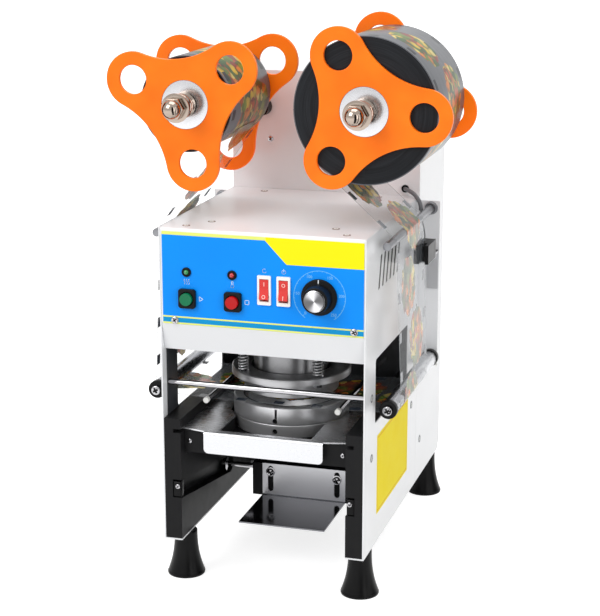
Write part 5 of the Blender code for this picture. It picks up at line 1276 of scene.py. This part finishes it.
def reels():
    """Lobed plates, the roll's outer turn and its wound edges; REEL_TURNS has the plates' angles."""
    for name, turns in REEL_TURNS.items():
        body = name + "_reel"
        low, high = span(name + "_roll")
        centre = (low + high) / 2
        place = (centre.x, 0, centre.z)
        radius = (high.x - low.x) / 2
        spread = turns[2]
        for end, turn, face in (("front", turns[0], low.y - 5.3), ("rear", turns[1], high.y + 0.3)):
            turn = radians(turn)
            centres = [(centre.x + LOBE_CIRCLE * cos(turn + a), centre.z + LOBE_CIRCLE * sin(turn + a))
                       for a in (0, 2 * pi / 3, 4 * pi / 3)]
            plate = slab(lobed_outline(turn, centre.x, centre.z), face, face + PLATE_THICK, "y",
                         [circle(middle_of_lobe, LOBE_HOLE, 56) for middle_of_lobe in centres], 0.7, 4)
            seat = face if end == "front" else face + PLATE_THICK
            recess = bar(CLAMP_SEAT_RADIUS, seat - CLAMP_SEAT_DEPTH, seat + CLAMP_SEAT_DEPTH, "y", place,
                         0.05, 96)
            bore = bar(6.3, face - 1, face + PLATE_THICK + 1, "y", place, 0.05, 48)
            node = f"{name}_{end}_plate"
            finish = ORANGE if end == "front" else painted_glow_orange(name, centre)
            piece(node + "_moulding", carved(plate, recess, bore), finish, body, (node,),
                  weighted=True)
        skin = hoop(radius - 1.0, radius, low.y + 0.05, high.y - 0.05, "y", place, 0.15, 160)
        piece(name + "_roll_film", skin, roll_film(name + "_film_turns", centre, radius, spread), body,
              (name + "_roll",))
        winding = [(38, low.y)]
        winding += [(38.6 + i * 0.5, low.y + 0.04 + 0.14 * (i % 2)) for i in range(int((radius - 40) * 2))]
        winding += [(radius - 1.05, low.y + 0.1), (radius - 1.05, high.y - 0.1), (38, high.y - 0.1)]
        piece(name + "_roll_edge", lathe(winding, "y", place, 144, True),
              roll_side(name + "_film_edge", centre), body, (name + "_roll",), 80)
        shaft_stack(name, body, place)


def shaft_stack(name, body, place):
    """Clamp washer, spring, small washer, hexagon nut and dome on each reel's shaft."""
    low, high = span(name + "_shaft")
    seat = span(name + "_front_plate")[0].y + 2.2
    washer = seat - 2.0
    spring_end = washer - 26.0
    nut_back = spring_end - 1.8
    nut_front = nut_back - 9.0
    disc = hoop(6, 25.2, seat, washer, "y", place, 0.4, 96)
    piece(name + "_washer", disc, POLISHED, body, (name + "_shaft",))
    spring = coil(12.0, 1.2, 6.6, spring_end, washer, "y", place)
    # Painted shade: a black cylinder inside the spring darkens the gaps between its turns.
    shade_core = bar(9.6, spring_end + 0.5, washer + 0.5, "y", place, 0.5)
    piece(name + "_spring_core", shade_core, BLACK, body)
    small = hoop(6, 15, spring_end, nut_back, "y", place, 0.3, 64)
    shaft = bar(6, nut_back - 4, high.y, "y", place, 0.6)
    collar_start = span(name + "_rear_plate")[1].y - 2.2
    collar = hoop(6, 13, collar_start, collar_start + 10, "y", place, 0.6, 48)
    piece(name + "_spring", joined(spring, small, shaft, collar), NICKEL, body)
    flats = circle((place[0], place[2]), 10.25 / cos(pi / 6), 6)
    nut = slab(flats, nut_front, nut_back, "y", edge=0.5, steps=3)
    neck = nut_front - 2.0
    dome = [(9.5 * cos(a), neck - 8.9 * sin(a)) for a in (pi / 2 * i / 14 for i in range(14))]
    cap = lathe([(0, nut_front + 1), (9.5, nut_front + 1), *dome, (0, neck - 8.9)], "y", place, 64)
    piece(name + "_nut", joined(nut, cap), NICKEL, body)


def web_path(stations):
    """Film path round circles: each is (x, z, radius, side), side +1 when it lies to the left."""
    lines = []
    for (x1, z1, r1, s1), (x2, z2, r2, s2) in zip(stations, stations[1:]):
        apart = hypot(x2 - x1, z2 - z1)
        heading = atan2(z2 - z1, x2 - x1) - asin((s2 * r2 - s1 * r1) / apart)
        normal = (-sin(heading), cos(heading))
        lines.append(((x1 - s1 * r1 * normal[0], z1 - s1 * r1 * normal[1]),
                      (x2 - s2 * r2 * normal[0], z2 - s2 * r2 * normal[1]), heading))
    points = [lines[0][0]]
    for index, (x, z, radius, side) in enumerate(stations[1:-1]):
        arrive, leave = lines[index][2], lines[index + 1][2]
        swing = (leave - arrive + pi) % (2 * pi) - pi
        steps = max(2, round(abs(swing) / radians(6)))
        for i in range(steps + 1):
            heading = arrive + swing * i / steps
            points.append((x + side * radius * sin(heading), z - side * radius * cos(heading)))
    points.append(lines[-1][1])
    return points


FILM_CLEARANCE = 0.45
FILM_HALF = 0.08
FILM_STEPS = 14
ROLLER_RADIUS = 8.5
FILM_ROD_RADIUS = 2.7


def web_stations():
    """The rolls, rods and rollers that the film goes round, in its order."""
    stations = []
    for side, roll in (("right", "supply_roll"), ("left", "takeup_roll")):
        found = []
        for node, radius, turn in ((roll, None, 1), (side + "_upper_rod", None, -1),
                                   (side + "_roller", ROLLER_RADIUS, -1),
                                   (side + "_film_rod", FILM_ROD_RADIUS, -1)):
            low, high = span(node)
            radius = (radius or (high.x - low.x) / 2) + FILM_CLEARANCE
            found.append(((low.x + high.x) / 2, (low.z + high.z) / 2, radius, turn))
        stations += found if side == "right" else found[::-1]
    return stations


def web():
    """The film between the reels, as a thin closed ribbon with its length in the UV map."""
    path = web_path(web_stations())
    fine = []
    for a, b in zip(path, path[1:]):
        count = max(1, int(hypot(b[0] - a[0], b[1] - a[1]) / 8))
        fine += [(a[0] + (b[0] - a[0]) * i / count, a[1] + (b[1] - a[1]) * i / count) for i in range(count)]
    fine.append(path[-1])
    low, high = span("film_web")
    bm = bmesh.new()
    rings = []
    length = 0
    length_at = {}
    for i, (x, z) in enumerate(fine):
        before, after = fine[max(i - 1, 0)], fine[min(i + 1, len(fine) - 1)]
        ahead = Vector((after[0] - before[0], after[1] - before[1])).normalized() * FILM_HALF
        length += hypot(x - before[0], z - before[1])
        ring = []
        for sign, steps in ((-1, range(FILM_STEPS + 1)), (1, range(FILM_STEPS, -1, -1))):
            for j in steps:
                y = low.y + (high.y - low.y) * j / FILM_STEPS
                ring.append(bm.verts.new((x - ahead.y * sign, y, z + ahead.x * sign)))
                length_at[ring[-1]] = length
        rings.append(ring)
    for here, there in zip(rings, rings[1:]):
        for j in range(len(here)):
            bm.faces.new((here[j - 1], here[j], there[j], there[j - 1]))
    for ring in (rings[0], rings[-1]):
        for j in range(FILM_STEPS):
            bm.faces.new((ring[j], ring[j + 1], ring[-2 - j], ring[-1 - j]))
    layer = bm.loops.layers.uv.new("length")
    for face in bm.faces:
        for loop in face.loops:
            loop[layer].uv = (length_at[loop.vert] * MM, loop.vert.co.y * MM)
    piece("film_ribbon", bm, FILM, replaces=("film_web",)).visible_shadow = False


def along_y(node):
    """A node's corners, and its middle as the centre of a turning about y."""
    low, high = span(node)
    return low, high, ((low.x + high.x) / 2, 0, (low.z + high.z) / 2)


def guides():
    """Rods beside and above the die, their tips and bushes, the rollers and the front rod."""
    for side in SIDES:
        node = side + "_upper_rod"
        low, high, place = along_y(node)
        piece(node + "_bar", bar((high.x - low.x) / 2, low.y, high.y, "y", place, 1.2, 48), ROD,
              replaces=(node,))
        bush = [(4.55, high.y - 4), (6.6, high.y - 4), (7.4, high.y - 0.4), (7.4, high.y), (4.55, high.y)]
        piece(node + "_bush", turned(bush, "y", place, 0.4, 48, True), ROD)
        node = side + "_film_rod"
        low, high, place = along_y(node)
        piece(node + "_bar", bar(FILM_ROD_RADIUS, low.y + 4, high.y, "y", place, 0.3, 32), CHROME,
              replaces=(node,))
        piece(node + "_tip", bar(3.3, low.y, low.y + 6, "y", place, 0.8, 40), CREAM, replaces=(node,))
        roller(side + "_roller")
    low, high = span("cross_rod")
    centre = (0, (low.y + high.y) / 2, (low.z + high.z) / 2)
    piece("cross_rod_bar", bar(3.0, low.x, high.x, "x", centre, 0.3, 48), CHROME, replaces=("cross_rod",))


def roller(node):
    """Aluminium tube, black end caps and the axle's screw."""
    low, high, place = along_y(node)
    wall = hoop(7, ROLLER_RADIUS, low.y + 7, high.y - 7, "y", place, 0.3, 64)
    piece(node + "_tube", wall, ALUMINIUM, node, (node,))
    caps = [hoop(3.6, 9.6, face, inner, "y", place, 1.1, 64)
            for face, inner in ((low.y, low.y + 8), (high.y, high.y - 8))]
    piece(node + "_caps", joined(*caps), BLACK, node, (node,))
    axle_end = (place[0], span("bulkhead")[0].y - 0.1, place[2])
    piece(node + "_axle_screw", pan_screw(axle_end, FORWARD, 5.0, 0.35, bold=0.24), CHROME)


SENSOR_BOTTOM = 331.2
SENSOR_SCREW = (127.2, 324.5)


def sensor():
    """Fork sensor: black body, bent steel arm with a screw, sleeved lead, thin wire and bush."""
    finish = satin_black("sensor_body", 16, 0.32, 0.004, shine=0.14)
    x, y, z = finish.axes()
    arm = z < SENSOR_BOTTOM
    finish.over(arm, (186, 187, 190))
    finish.wear(Metallic=0.7 * arm)
    dress("film_sensor", finish, 0.3)
    face = span("film_sensor")[1].y - 1.7
    x, z = SENSOR_SCREW
    washer = hoop(1.8, 3.6, face + 0.1, face - 0.4, "y", (x, 0, z), 0.15, 40)
    head = pan_screw((x, face - 0.3, z), FORWARD, 2.7, 0.4, bold=0.24)
    piece("sensor_screw", joined(washer, head), CHROME)
    sleeve = smooth_line([(93.4, 255, 399.5), (93.4, 241, 399.3), (99, 232, 399.4), (106.5, 226, 396.8),
                          (112.8, 223, 390.7), (115.4, 222, 384.6), (116.1, 221.6, 379.8)])
    wire = smooth_line([(115.9, 221.8, 382), (116.4, 221, 377.4), (118.6, 216, 371), (122.8, 206, 364),
                        (126.6, 195, 358.5), (127.3, 191, 351.8)])
    piece("sensor_lead", joined(tube(sleeve, 2.35, 16), tube(wire, 0.7, 10)), CABLE,
          replaces=("sensor_cable",), crease=60)
    bush = [(2.4, 241.4), (4.4, 241.4), (4.4, 240.2), (3.9, 239.2), (2.4, 239.2)]
    piece("cable_bush", turned(bush, "y", (93.4, 0, 399.4), 0.3, 40, True), BLACK)


def smooth_line(points):
    """Points along a smooth curve through the given ones."""
    ends = [Vector(p) for p in points]
    ends = [ends[0] * 2 - ends[1], *ends, ends[-1] * 2 - ends[-2]]
    route = []
    for i in range(len(points) - 1):
        a, b, c, d = ends[i:i + 4]
        for j in range(8):
            t = j / 8
            route.append(0.5 * (2 * b + (c - a) * t + (2 * a - 5 * b + 4 * c - d) * t ** 2
                                + (3 * b - a - 3 * c + d) * t ** 3))
    return route + [ends[-2]]


LABEL_MIDDLE = (0, 126, 126)


def labels():
    """Bare yellow plate on the right side, with a thin border."""
    finish = moulded("yellow_sheet", (252, 232, 30), (248, 222, 20), 0.5, specular_ior_level=0.06)
    x, y, z = finish.axes(LABEL_MIDDLE)
    out = (abs(y) - 72).math("MAXIMUM", abs(z) - 44)
    finish.over(out.between(-3.4, -2.8), (214, 120, 40))
    sheet = rounded(54, 198, 82, 170, 1.0, 4)
    piece("side_label", slab(sheet, 110.0, 110.2, "x", edge=0.05, steps=1), finish, weighted=True)


def recesses():
    """Black floors laid in the screws' cross recesses: painted shade."""
    for body, floors in RECESS_SHADES.items():
        piece(body + "_screw_recesses", joined(*floors), BLACK, body)


for make in (stage, housing, feet, screws, overlay, panel_marks, lamps, buttons, rockers, knob, dies, press,
             lift, reels, web, guides, sensor, labels, recesses):
    make()
